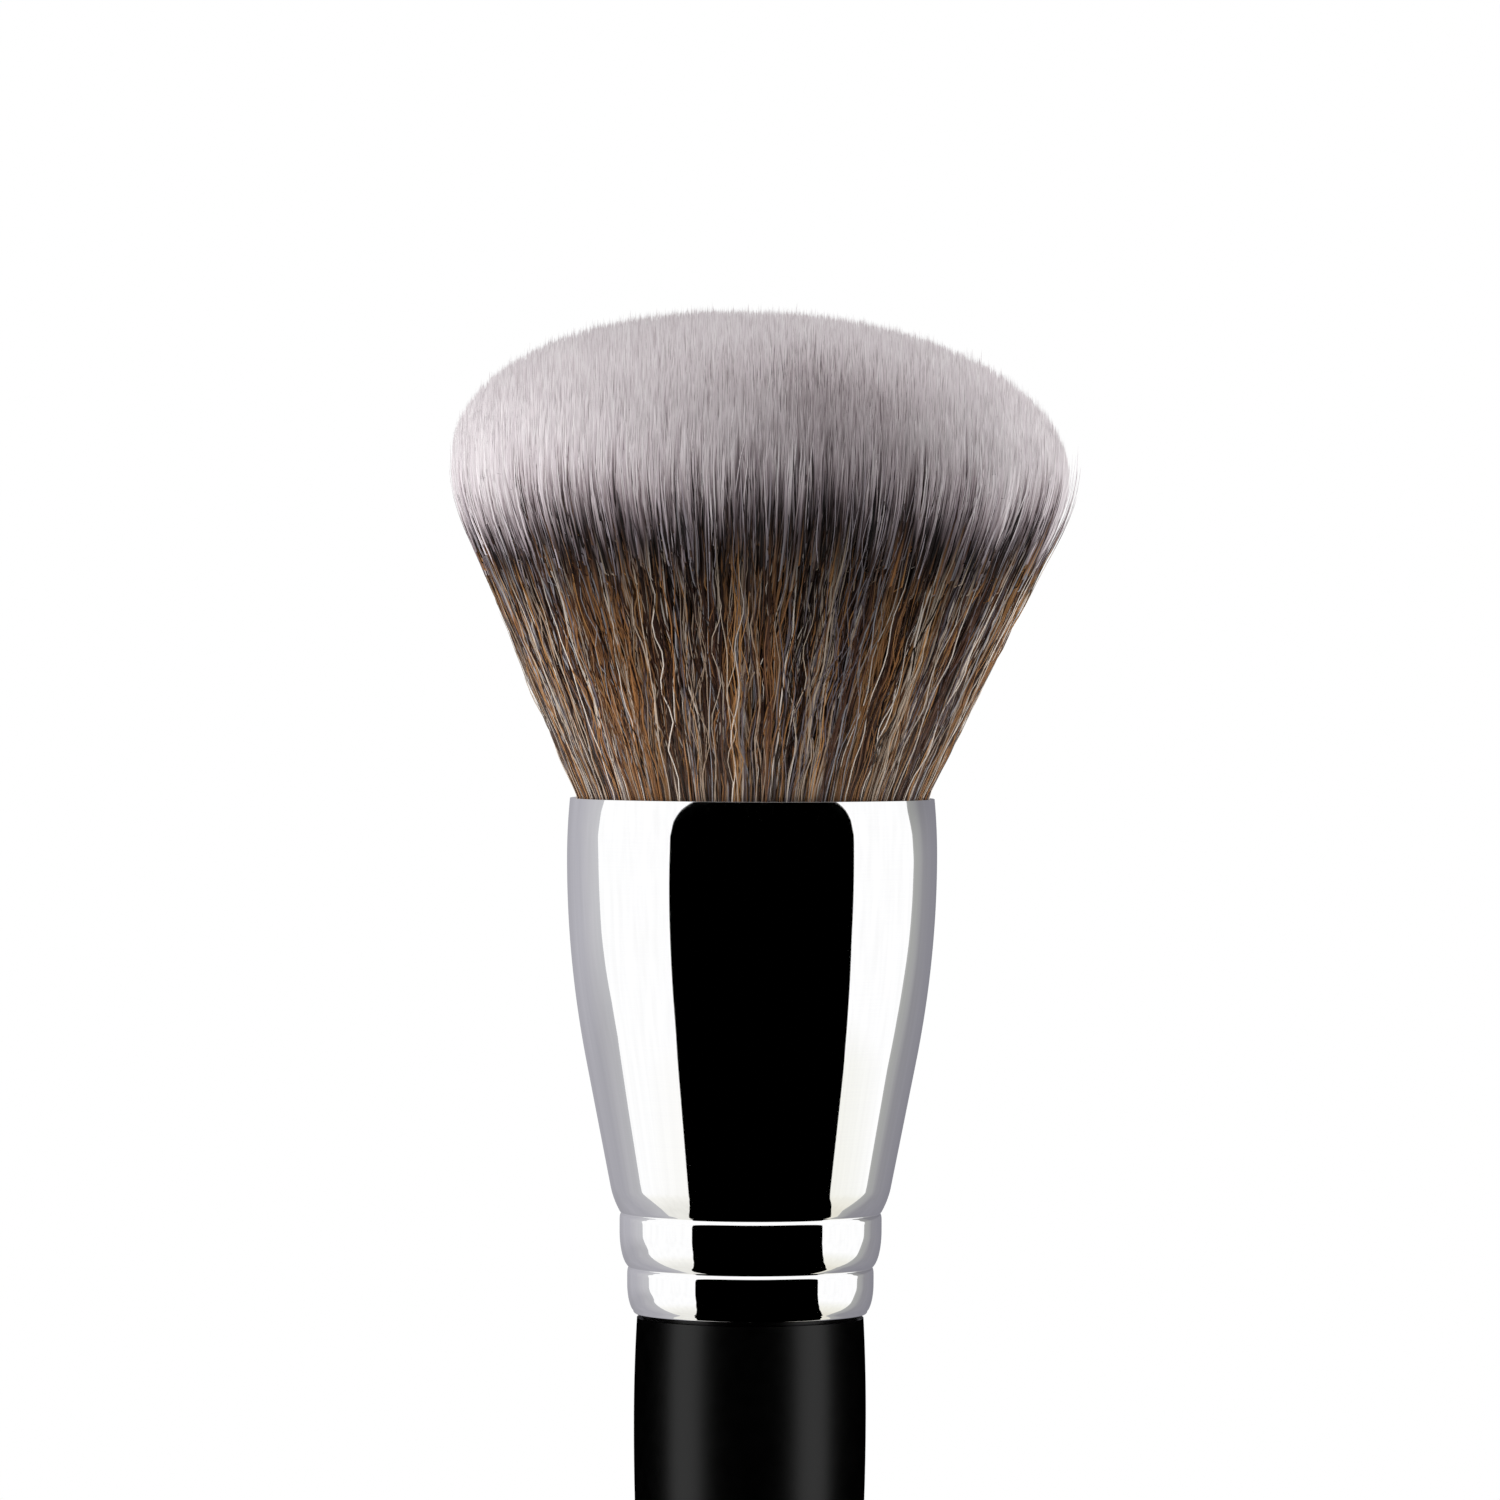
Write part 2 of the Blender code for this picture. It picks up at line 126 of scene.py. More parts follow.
def crimp(height, locks, lock_of, waves):
    """The waves of crimped hair: mostly its lock's own, fading at the root and in the straight tip."""
    grown = np.clip(height / CRIMP_GROWN, 0.0, 1.0)
    straight = np.clip((height - CRIMP_UNTIL) / CRIMP_FADE, 0.0, 1.0)
    strength = grown * (1.0 - CRIMP_LOSS * straight)
    total = np.zeros_like(height)
    for stray, length, wave_size in waves:
        phase = draw.uniform(0.0, math.tau, locks)[lock_of] + draw.normal(0.0, stray, len(lock_of))
        stretch = draw.normal(1.0, LOCK_STRETCH, locks)[lock_of]
        stretch = stretch * draw.normal(1.0, HAIR_STRETCH, len(lock_of))
        size = wave_size * draw.uniform(*CRIMP_SIZES, len(lock_of))
        turns = height / (length * stretch[:, None])
        total += size[:, None] * np.sin(math.tau * turns + phase[:, None])
    return total * strength


def hair_paths(seats, lock_centres, starts, tips, along, gather, unruly=1.0, splay=0.0):
    """Each hair's middle line, its heights over the mouth and its lock. Unruly hair waves and strays more to
    the side, and splay is how far its tip bends outward."""
    lock_of = nearest(seats, lock_centres)
    centre = lock_centres[lock_of]
    height = starts[:, None] + (tips - starts)[:, None] * along[None, :]
    pull = gather(height)[:, :, None]
    seat = seats[:, None, :] * (1.0 - pull) + centre[:, None, :] * pull
    radius = reach(height)
    outward = seats / np.maximum(np.hypot(seats[:, 0], seats[:, 1]), 1e-6)[:, None]
    side_waves = crimp(height, len(lock_centres), lock_of, SIDE_WAVES)
    depth_waves = crimp(height, len(lock_centres), lock_of, DEPTH_WAVES)
    drift = draw.normal(0.0, HAIR_DRIFT, len(seats))[:, None] * np.clip(height, 0.0, None)
    lean = HEAD_LEAN * np.clip(height / LEAN_HEIGHT, 0.0, 1.0) ** LEAN_POWER
    side_waves = (side_waves + drift) * unruly
    depth_waves = depth_waves + splay * np.clip(height / BELLY_HEIGHT, 0.0, None) ** 3
    x = seat[:, :, 0] * radius - outward[:, 1:2] * side_waves + outward[:, 0:1] * depth_waves + lean
    y = seat[:, :, 1] * radius + outward[:, 0:1] * side_waves + outward[:, 1:2] * depth_waves
    return np.stack([x, y, mouth + height], 2), height, lock_of


# The dye: the dark band between the root and the pale tip. A patch at the front of the dome where the tips
# stay darker is painted shade. Places along the dye count from the line between band and tip, which is at
# BAND_PLACE.
BAND_HEIGHT = 23.1 * MM
BAND_FOOT = 12.5 * MM
BAND_SAG = 4.1 * MM
BAND_TILT = 0.2 * MM
BAND_STRAY = ((7, 0.35 * MM), (13, 0.35 * MM), (23, 0.4 * MM), (38, 0.4 * MM))
NARROWEST_BAND = 2.5 * MM
# Painted light: the band's foot rises at the two sides seen from the camera, so the roots on the flanks stay
# paler.
FLANK_LIGHT_RISE = 5.2 * MM
FLANK_LIGHT_POWER = 8
LOCK_STRAY = 1.1 * MM
HAIR_STRAY = 0.95 * MM
STREAK_STRAY = 0.7 * MM
STREAK_COUNTS = (240, 700)
# Painted shade: a patch at the front of the dome, a little right of the middle, where the tips stay darker.
SHADE_PATCH_SEAT = (0.19, -0.84)
SHADE_PATCH_LEFT = 0.55
SHADE_PATCH_RIGHT = 0.43
SHADE_PATCH_BACK = 0.26
SHADE_PATCH_LOSS = 2.55 * MM
SHADE_PATCH_STREAK = 0.4
PALE_FROM = -2.4 * MM
PALE_WHOLE = 4.6 * MM
PALE_CREEP = 0.03
BAND_PLACE = 0.7
COLOUR_SPAN = 40.0 * MM
TONE_COLUMNS = 16
PALEST_COLUMN = 7
PALE_COLUMNS = (3, 5, 7, 7, 13, 13, 1, 10)
LOCK_TONE_SHARE = 0.5
streak_tables = [draw.normal(0.0, 1.0, count) for count in STREAK_COUNTS]


def band_height(seats):
    """Where the dark band ends and the pale tip begins: lower at the two sides, and never quite even."""
    angle = np.arctan2(seats[:, 1], seats[:, 0])
    stray = sum(size * np.sin(turns * angle + turns**2) for turns, size in BAND_STRAY)
    return BAND_HEIGHT - BAND_SAG * np.cos(angle) ** 2 + BAND_TILT * seats[:, 0] + stray


def streaks(seats):
    """How far each hair's dye leads or lags: much alike for hairs that stand behind one another."""
    turn = np.arctan2(seats[:, 1], seats[:, 0]) / math.tau + 0.5
    shifts = [np.interp(turn * len(table), np.arange(len(table)), table) for table in streak_tables]
    return sum(shifts) / len(shifts)


def dye_places(height, seats, locks, lock_of):
    """Where along the dye each point of each hair lies. The band's foot is level but for a rise at the two
    sides seen from the camera, which keeps the roots there paler: painted light on the flare's flanks. In the
    painted shade patch at the front the tips never get quite pale."""
    edge = band_height(seats) + draw.normal(0.0, LOCK_STRAY, locks)[lock_of]
    edge += draw.normal(0.0, HAIR_STRAY, len(seats))
    edge += STREAK_STRAY * streaks(seats)
    # The painted shade patch at the front of the dome.
    aside = seats[:, 0] - SHADE_PATCH_SEAT[0]
    aside = np.where(aside < 0.0, (aside / SHADE_PATCH_LEFT) ** 2, (aside / SHADE_PATCH_RIGHT) ** 4)
    back = (seats[:, 1] - SHADE_PATCH_SEAT[1]) / SHADE_PATCH_BACK
    painted_shade_loss = SHADE_PATCH_LOSS * (1.0 + SHADE_PATCH_STREAK * streaks(seats)) * draw.uniform(0.8, 1.2, len(seats))
    palest = PALE_WHOLE - painted_shade_loss * np.exp(-aside - back**2)
    # Painted light on the flanks: the band's foot rises at the two sides seen from the camera.
    foot = BAND_FOOT + FLANK_LIGHT_RISE * np.abs(seats[:, 0]) ** FLANK_LIGHT_POWER
    squeeze = (BAND_HEIGHT - BAND_FOOT) / np.maximum(edge - foot, NARROWEST_BAND)
    squeeze *= draw.uniform(0.75, 1.25, len(seats))
    past = height - edge[:, None]
    beyond = np.maximum(past - palest[:, None], 0.0)
    in_tip = np.minimum(past, palest[:, None]) + PALE_CREEP * beyond
    past = np.where(past < 0.0, past * squeeze[:, None], in_tip)
    return BAND_PLACE + past / COLOUR_SPAN


def tone_columns(lock_of, locks):
    """A tone for each hair. Half of a lock's hair shares the lock's own tone, unless that is the palest."""
    own = draw.integers(0, TONE_COLUMNS, len(lock_of))
    lock_tone = draw.integers(0, TONE_COLUMNS, locks)[lock_of]
    shares = (draw.uniform(0.0, 1.0, len(lock_of)) < LOCK_TONE_SHARE) & (lock_tone != PALEST_COLUMN)
    return np.where(shares, lock_tone, own)


# A strand is a tapered tube of three sides, closed at its foot and pointed at its tip.
STRAND_SIDES = 3
TONE_INSET = 0.28
TONE_SPREAD = 0.44
DYE_LIMITS = (0.005, 0.995)


def strand_faces(rings):
    """One strand's triangles, with the side and the ring that each of their corners lies at."""
    faces = []
    sides = []
    levels = []
    for ring in range(rings - 1):
        for side in range(STRAND_SIDES):
            near = ring * STRAND_SIDES + side
            far = ring * STRAND_SIDES + (side + 1) % STRAND_SIDES
            faces += [(near, far, far + STRAND_SIDES), (near, far + STRAND_SIDES, near + STRAND_SIDES)]
            sides += [(0, 1, 1), (0, 1, 0)]
            levels += [(ring, ring, ring + 1), (ring, ring + 1, ring + 1)]
    last = (rings - 1) * STRAND_SIDES
    for side in range(STRAND_SIDES):
        faces.append((last + side, last + (side + 1) % STRAND_SIDES, rings * STRAND_SIDES))
        sides.append((0, 1, 1))
        levels.append((rings - 1, rings - 1, rings))
    faces.append((2, 1, 0))
    sides.append((0, 1, 0))
    levels.append((0, 0, 1))
    return np.array(faces), np.array(sides), np.array(levels)


def hair_mesh(name, seats, paths, widths, columns, dye, domed, matting):
    """One mesh of strands. Its UV map holds each strand's tone across and its dye along. Light gets through
    fine hair, so by the share in matting its normals lean from each strand's own to the knot's surface, which
    is the flank, and by the share in domed the dome."""
    count, stations = dye.shape
    rings = stations - 1
    along = np.gradient(paths, axis=1)
    along /= np.linalg.norm(along, axis=2, keepdims=True)
    outward = paths[:, -1, :] * np.array([1.0, 1.0, 0.0])
    outward /= np.maximum(np.linalg.norm(outward, axis=1, keepdims=True), 1e-9)
    across = np.cross(along, np.broadcast_to(outward[:, None, :], along.shape))
    across /= np.linalg.norm(across, axis=2, keepdims=True)
    facing = np.cross(across, along)
    twist = draw.uniform(0.0, math.tau, count)[:, None, None]
    domed = domed[None, :, None]
    matting = matting[None, :, None]
    surface = facing * (1.0 - domed) + dome_normals(seats)[:, None, :] * domed
    corners = []
    leaning = []
    for side in range(STRAND_SIDES):
        angle = twist + math.tau * side / STRAND_SIDES
        offset = np.cos(angle) * facing + np.sin(angle) * across
        corners.append(paths + offset * widths[:, :, None] / 2)
        leaning.append(offset * (1.0 - matting) + surface * matting)
    tube = np.stack(corners, 2)[:, :rings].reshape(count, rings * STRAND_SIDES, 3)
    vertices = np.concatenate([tube, paths[:, -1:, :]], 1)
    tube_normals = np.stack(leaning, 2)[:, :rings].reshape(count, rings * STRAND_SIDES, 3)
    normals = np.concatenate([tube_normals, surface[:, -1:, :]], 1).reshape(-1, 3)
    normals /= np.linalg.norm(normals, axis=1, keepdims=True)
    each = rings * STRAND_SIDES + 1
    faces, sides, levels = strand_faces(rings)
    triangles = (faces[None] + np.arange(count)[:, None, None] * each).reshape(-1, 3)
    mesh = bpy.data.meshes.new(name)
    mesh.vertices.add(count * each)
    mesh.vertices.foreach_set("co", vertices.astype(np.float32).ravel())
    mesh.loops.add(len(triangles) * 3)
    mesh.loops.foreach_set("vertex_index", triangles.astype(np.int32).ravel())
    mesh.polygons.add(len(triangles))
    mesh.polygons.foreach_set("loop_start", np.arange(0, len(triangles) * 3, 3, dtype=np.int32))
    mesh.update(calc_edges=True)
    mesh.shade_smooth()
    mesh.normals_split_custom_set_from_vertices(normals.astype(np.float32))
    column_u = (columns[:, None, None] + TONE_INSET + TONE_SPREAD * sides[None]) / TONE_COLUMNS
    dye_v = np.take_along_axis(
        np.broadcast_to(dye[:, None, :], (count, len(faces), stations)),
        np.broadcast_to(levels[None], (count, len(faces), 3)),
        axis=2,
    )
    coordinates = np.stack([column_u, np.clip(dye_v, *DYE_LIMITS)], 3)
    layer = mesh.uv_layers.new(name="OFBake")
    layer.uv.foreach_set("vector", coordinates.astype(np.float32).ravel())
    piece = bpy.data.objects.new(name, mesh)
    bpy.context.scene.collection.objects.link(piece)
    return piece


# Whole hairs, from the glue to the tip. What changes along them is given as (shares of length, values).
LONG_STATIONS = 25
LONG_LOCK_HAIRS = 11
LONG_TIPS_STRAY = 0.25 * MM
LONG_TAPER = ((0.0, 0.6, 0.9, 1.0), (1.0, 1.0, 0.6, 0.2))
LONG_MATTING = ((0.0, 0.5, 0.68, 0.8, 1.0), (0.4, 0.45, 0.8, 0.88, 0.88))
DOME_FROM = 0.7
DOME_TURN = 0.25
GATHER_HEIGHT = 13.0 * MM
GATHER_SHARE = 0.42
GATHER_POWER = 1.3
LOOSEN_FROM = 15.0 * MM
LOOSEN_LENGTH = 8.0 * MM
LOOSEN_SHARE = 0.5
STRAY_SEATS = (1.0, 1.012)
STRAY_THICKNESS = (0.07 * MM, 0.11 * MM)
LOOSE_TIPS = (7.0, 23.0)
SPLAYED_TIPS = (22.5, 27.0)
SPLAY_SPREAD = 0.3
SPLAY = (0.2, 0.8)


def gather_long(height):
    """Long hair stands even at the mouth, draws into locks on its way up and loosens a little at the tips."""
    rise = np.clip(height / GATHER_HEIGHT, 0.0, 1.0)
    loosen = np.clip((height - LOOSEN_FROM) / LOOSEN_LENGTH, 0.0, 1.0)
    return GATHER_SHARE * rise**GATHER_POWER * (1.0 - LOOSEN_SHARE * loosen)


def gather_none(height):
    """Loose hair isn't drawn into any lock."""
    return np.zeros_like(height)


def finish_long(name, seats, paths, height, lock_of, columns, thickness):
    """Gives the middle lines of whole hairs their widths, dye and normals."""
    count, stations = height.shape
    full = draw.uniform(*thickness, count)[:, None]
    along = np.linspace(0.0, 1.0, stations)
    widths = full * np.interp(along, *LONG_TAPER)[None, :]
    dye = dye_places(height, seats, int(lock_of.max()) + 1, lock_of)
    domed = np.clip((along - DOME_FROM) / DOME_TURN, 0.0, 1.0)
    return hair_mesh(name, seats, paths, widths, columns, dye, domed, np.interp(along, *LONG_MATTING))


def long_hair(name, count, ring, thickness, unruly=1.0, stations=LONG_STATIONS):
    """Whole hairs for one of the knot's outer layers."""
    seats = ring_seats(count, ring)
    lock_centres = ring_seats(int(count / LONG_LOCK_HAIRS), ring)
    starts = np.full(count, -ROOT_DEPTH)
    tips = tip_height(seats) + draw.normal(0.0, LONG_TIPS_STRAY, count)
    along = np.linspace(0.0, 1.0, stations)
    unruly = draw.uniform(0.6, unruly, count)[:, None]
    paths, height, lock_of = hair_paths(seats, lock_centres, starts, tips, along, gather_long, unruly)
    columns = tone_columns(lock_of, len(lock_centres))
    return finish_long(name, seats, paths, height, lock_of, columns, thickness)


def stray_hair(name, loose, splayed):
    """Loose, kinked and mostly pale hairs that cross the flare, and a few that splay out at the right."""
    count = loose + splayed
    angle = np.concatenate([draw.uniform(0.0, math.tau, loose), draw.normal(0.0, SPLAY_SPREAD, splayed)])
    share = draw.uniform(*STRAY_SEATS, count)
    seats = np.stack([share * np.cos(angle), share * np.sin(angle)], 1)
    tips = np.concatenate([draw.uniform(*LOOSE_TIPS, loose), draw.uniform(*SPLAYED_TIPS, splayed)]) * MM
    splay = np.concatenate([np.zeros(loose), draw.uniform(*SPLAY, splayed) * MM])[:, None]
    unruly = draw.uniform(0.7, 1.6, count)[:, None]
    starts = np.full(count, -ROOT_DEPTH)
    along = np.linspace(0.0, 1.0, LONG_STATIONS)
    paths, height, lock_of = hair_paths(seats, seats, starts, tips, along, gather_none, unruly, splay)
    columns = draw.choice(PALE_COLUMNS, count)
    return finish_long(name, seats, paths, height, lock_of, columns, STRAY_THICKNESS)


# The last stretch of the hairs whose tips make the dome: the rest of them is hidden in the knot.
TIP_STATIONS = (0.0, 0.06, 0.35, 0.62, 0.84, 1.0)
SHORT_TIP_STATIONS = (0.0, 0.06, 0.45, 0.8, 1.0)
TIP_THICKNESS = (0.1 * MM, 0.18 * MM)
TIP_TAPER = ((0.0, 0.06, 0.5, 0.85, 1.0), (0.1, 1.0, 0.95, 0.6, 0.15))
TIP_LENGTHS = (0.75, 1.1)
TIP_STRAY = 0.13 * MM
TIP_GATHER = 0.3
TIP_LOCK_HAIRS = 9
TIP_MATTING = 0.85
TIP_FOOT_INSET = 0.93
TIP_FOOT_PLACE = 0.05


def gather_tips(height):
    """Tips stay drawn to their locks by the same share all along."""
    return np.full_like(height, TIP_GATHER)


def tip_hair(name, count, ring, length, stations=TIP_STATIONS, proud=0.0, thinness=1.0, lag=0.0):
    """Tips for one ring of the dome. Proud is how far some stand out of it, thinness is their share of the
    usual width, and lag is how far their dye lags. Their feet are drawn in and dyed as roots are."""
    seats = ring_seats(count, ring)
    lock_centres = ring_seats(int(count / TIP_LOCK_HAIRS), ring)
    tips = tip_height(seats) + draw.normal(0.0, TIP_STRAY, count) + draw.uniform(0.0, 1.0, count) ** 2 * proud
    starts = tips - length * draw.uniform(*TIP_LENGTHS, count)
    along = np.array(stations)
    paths, height, lock_of = hair_paths(seats, lock_centres, starts, tips, along, gather_tips)
    paths[:, 0, :2] *= TIP_FOOT_INSET
    full = thinness * draw.uniform(*TIP_THICKNESS, count)[:, None]
    widths = full * np.interp(along, *TIP_TAPER)[None, :]
    dye = dye_places(height, seats, len(lock_centres), lock_of)
    dye -= lag / COLOUR_SPAN
    dye[:, 0] = np.minimum(dye[:, 0], TIP_FOOT_PLACE)
    columns = tone_columns(lock_of, len(lock_centres))
    whole = np.ones(len(along))
    return hair_mesh(name, seats, paths, widths, columns, dye, whole, TIP_MATTING * whole)


def linear(code):
    """An sRGB hex code as the linear colour that a shader takes."""
    levels = [int(code[start : start + 2], 16) / 255 for start in (0, 2, 4)]
    return (*[v / 12.92 if v <= 0.04045 else ((v + 0.055) / 1.055) ** 2.4 for v in levels], 1.0)


def new_material(name):
    """A material with a Principled shader on an output, and nothing else."""
    made = bpy.data.materials.new(name)
    made.use_nodes = True
    return made, made.node_tree, made.node_tree.nodes["Principled BSDF"]


def feed(tree, node, **inputs):
    """Sets or links a node's inputs, by their names with _ for a space, or by _ and a number."""
    for name, value in inputs.items():
        socket = node.inputs[int(name[1:])] if name[1:].isdigit() else node.inputs[name.replace("_", " ")]
        if isinstance(value, bpy.types.NodeSocket):
            tree.links.new(value, socket)
        else:
            socket.default_value = value


def add(tree, kind, settings=None, **inputs):
    """Adds a shader node with its own settings, and sets or links its inputs."""
    node = tree.nodes.new("ShaderNode" + kind)
    for name, value in (settings or {}).items():
        setattr(node, name, value)
    feed(tree, node, **inputs)
    return node


def set_ramp(node, stops):
    """Gives a colour ramp its stops, as (place, hex code)."""
    elements = node.color_ramp.elements
    while len(elements) < len(stops):
        elements.new(0.5)
    for element, (place, code) in zip(elements, stops):
        element.position = place
        element.color = linear(code)
    return node


# Dyed, tapered PBT fibre: satin, with a soft highlight along it. A hair is brown, golden, grey or near black
# at its root by its tone, near black in the band, and a pale mauve grey in its tip. Painted into the colour
# too: a painted reflection that makes the root paler near the mouth, as light thrown up by the chrome, and
# painted shade that darkens the root on its way up to the band. The lengths count down from the line between
# band and tip.
ROOT_TONES = (
    "2B1910", "A97648", "442C21", "AF9782", "20120C", "A3A0A4", "7A5434", "E6D9CD",
    "845C3F", "352017", "BE8A55", "776E74", "2F1D17", "C4B19E", "5A3C2D", "946C44",
)
BAND_TONES = (
    "0A0505", "261B1C", "080404", "4A4043", "060303", "7D757A", "140D0D", "3E3335",
    "211818", "0A0505", "342929", "9D959C", "060303", "281E1E", "100A0A", "6C6369",
)
TIP_TONES = (
    "DBD3D6", "E3DDDF", "D4CBCF", "E0DADC", "D7CFD2", "DDD6D8", "E5E0E1", "D5CDD0",
    "DFD8DA", "D2C9CD", "E2DCDE", "D9D1D4", "DED7D9", "D3CACE", "E4DFE0", "DCD4D7",
)
# Painted reflection: near the mouth the root colour is mixed with a pale grey, as light thrown up by the
# chrome.
FOOT_REFLECTION_SHARE = 0.12
FOOT_REFLECTION_FROM = 17.0 * MM
FOOT_REFLECTION_WHOLE = 24.0 * MM
# Painted shade: the root colour darkens on its way up towards the band.
ROOT_SHADE_SHARE = 0.6
ROOT_SHADE_FROM = 16.0 * MM
ROOT_SHADE_WHOLE = 4.0 * MM
BAND_FROM = 8.0 * MM
BAND_WHOLE = 1.5 * MM

hair_material, tree, shader = new_material("dyed_pbt_fibre")
uv = add(tree, "UVMap", {"uv_map": "OFBake"})
split = add(tree, "SeparateXYZ", Vector=uv.outputs["UV"])
colours = []
for tones in (ROOT_TONES, BAND_TONES, TIP_TONES):
    ramp = add(tree, "ValToRGB", Fac=split.outputs["X"])
    ramp.color_ramp.interpolation = "CONSTANT"
    set_ramp(ramp, [(column / TONE_COLUMNS, code) for column, code in enumerate(tones)])
    colours.append(ramp.outputs["Color"])
root_colour, band_colour, tip_colour = colours
to_foot_reflection = add(
    tree, "MapRange", Value=split.outputs["Y"], To_Max=FOOT_REFLECTION_SHARE,
    From_Min=BAND_PLACE - FOOT_REFLECTION_FROM / COLOUR_SPAN, From_Max=BAND_PLACE - FOOT_REFLECTION_WHOLE / COLOUR_SPAN,
)
to_root_shade = add(
    tree, "MapRange", Value=split.outputs["Y"], To_Max=ROOT_SHADE_SHARE,
    From_Min=BAND_PLACE - ROOT_SHADE_FROM / COLOUR_SPAN, From_Max=BAND_PLACE - ROOT_SHADE_WHOLE / COLOUR_SPAN,
)
to_band = add(
    tree, "MapRange", {"interpolation_type": "SMOOTHSTEP"}, Value=split.outputs["Y"],
    From_Min=BAND_PLACE - BAND_FROM / COLOUR_SPAN, From_Max=BAND_PLACE - BAND_WHOLE / COLOUR_SPAN,
)
to_tip = add(
    tree, "MapRange", {"interpolation_type": "SMOOTHSTEP"}, Value=split.outputs["Y"],
    From_Min=BAND_PLACE + PALE_FROM / COLOUR_SPAN, From_Max=BAND_PLACE + PALE_WHOLE / COLOUR_SPAN,
)
blend = {"data_type": "RGBA"}
# Painted reflection of the chrome on the roots near the mouth.
foot = add(tree, "Mix", blend, _0=to_foot_reflection.outputs["Result"], _6=root_colour, _7=linear("A89A8E"))
# Painted shade on the roots below the band.
shaded_root = add(tree, "Mix", blend, _0=to_root_shade.outputs["Result"], _6=foot.outputs[2], _7=linear("000000"))
lower = add(tree, "Mix", blend, _0=to_band.outputs["Result"], _6=shaded_root.outputs[2], _7=band_colour)
mauve = add(tree, "Mix", blend, _0=to_tip.outputs["Result"], _6=linear("D2BCC2"), _7=tip_colour)
whole = add(tree, "Mix", blend, _0=to_tip.outputs["Result"], _6=lower.outputs[2], _7=mauve.outputs[2])
feed(tree, shader, Base_Color=whole.outputs[2], Roughness=0.5, Specular_IOR_Level=0.2)

# The pieces by their place in the knot: how many hairs, in which ring of it, how thick or how long. Four
# stand for the CAD's four zones of strands.
hair_pieces = [
    (long_hair("hair_surface", 1350, (0.97, 1.0), (0.08 * MM, 0.15 * MM), unruly=2.0), "bristle_outer"),
    (long_hair("hair_under_surface", 1350, (0.94, 0.98), (0.1 * MM, 0.18 * MM), unruly=1.7), None),
    (stray_hair("hair_strays", loose=110, splayed=26), None),
    (long_hair("hair_upper_layer", 1350, (0.9, 0.95), (0.13 * MM, 0.22 * MM)), None),
    (long_hair("hair_under_layer", 1200, (0.83, 0.9), (0.2 * MM, 0.32 * MM), stations=21), None),
    (tip_hair("hair_tips_rim", 7000, (0.93, 1.0), 9.5 * MM), None),
    (tip_hair("hair_tips_under_rim", 6500, (0.85, 0.95), 9.0 * MM), None),
    (tip_hair("hair_tips_shoulder", 7000, (0.72, 0.88), 8.0 * MM), None),
    (tip_hair("hair_tips_middle", 6300, (0.53, 0.74), 6.0 * MM, SHORT_TIP_STATIONS), "bristle_middle"),
    (tip_hair("hair_tips_inner", 6000, (0.24, 0.55), 6.0 * MM, SHORT_TIP_STATIONS), "bristle_inner"),
    (tip_hair("hair_tips_core", 1800, (0.0, 0.25), 6.0 * MM, SHORT_TIP_STATIONS), "bristle_core"),
    (
        tip_hair(
            "hair_tips_proud", 9000, (0.0, 1.0), 3.0 * MM, SHORT_TIP_STATIONS,
            proud=0.5 * MM, thinness=0.28, lag=2.5 * MM,
        ),
        None,
    ),
    (long_hair("hair_surface_fine", 600, (0.98, 1.005), (0.05 * MM, 0.09 * MM), unruly=2.6), None),
]
# Fine fibre lets light through, so only the layers under the surface and the strays throw a shadow.
SHADOWED = ("hair_under_surface", "hair_strays", "hair_upper_layer", "hair_under_layer")
for piece, node in hair_pieces:
    piece.data.materials.append(hair_material)
    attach(piece, "root")
    if node:
        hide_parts(node)
    piece.visible_shadow = piece.name in SHADOWED


def turn_outline(name, outline, steps):
    """Turns an outline of (radius, height) about the brush's axis, as on a lathe, and closes its poles."""
    bpy.ops.object.select_all(action="DESELECT")
    bpy.ops.mesh.primitive_plane_add(size=1.0)
    piece = bpy.context.object
    piece.name = name
    piece.data.name = name
    bpy.ops.object.mode_set(mode="EDIT")
    bpy.ops.mesh.select_all(action="SELECT")
    bpy.ops.mesh.merge(type="CENTER")
    bpy.ops.transform.translate(value=(outline[0][0], 0.0, outline[0][1]))
    for (radius, height), (next_radius, next_height) in zip(outline, outline[1:]):
        step = (next_radius - radius, 0.0, next_height - height)
        bpy.ops.mesh.extrude_region_move(TRANSFORM_OT_translate={"value": step})
    bpy.ops.mesh.select_all(action="SELECT")
    bpy.ops.mesh.spin(steps=steps, angle=math.tau, center=(0.0, 0.0, 0.0), axis=(0.0, 0.0, 1.0))
    bpy.ops.mesh.select_all(action="SELECT")
    bpy.ops.mesh.remove_doubles(threshold=0.001 * MM)
    bpy.ops.mesh.normals_make_consistent(inside=False)
    bpy.ops.object.mode_set(mode="OBJECT")
    piece.data.shade_smooth()
    return piece


# The packed inside of the knot, where no single hair shows: a closed, turned body under the outer layers.
HEART_SHARE = 0.86
HEART_DEPTH = 4.2 * MM
HEART_STEPS = 64
heart_outline = [(0.0, mouth - ROOT_DEPTH)]
for height in np.linspace(-ROOT_DEPTH, BELLY_HEIGHT - HEART_DEPTH, 20):
    heart_outline.append((HEART_SHARE * float(reach(height)), mouth + float(height)))
for turn in np.linspace(0.0, math.pi / 2, 16)[1:]:
    share = math.cos(turn)
    radius = HEART_SHARE * share * float(reach(BELLY_HEIGHT))
    rise = (1.0 - share**DOME_POWER) ** (1.0 / DOME_POWER)
    height = BELLY_HEIGHT - HEART_DEPTH + (HEAD_HEIGHT - BELLY_HEIGHT) * rise
    heart_outline.append((max(radius, 0.0), mouth + height))
heart = turn_outline("hair_heart", heart_outline, HEART_STEPS)

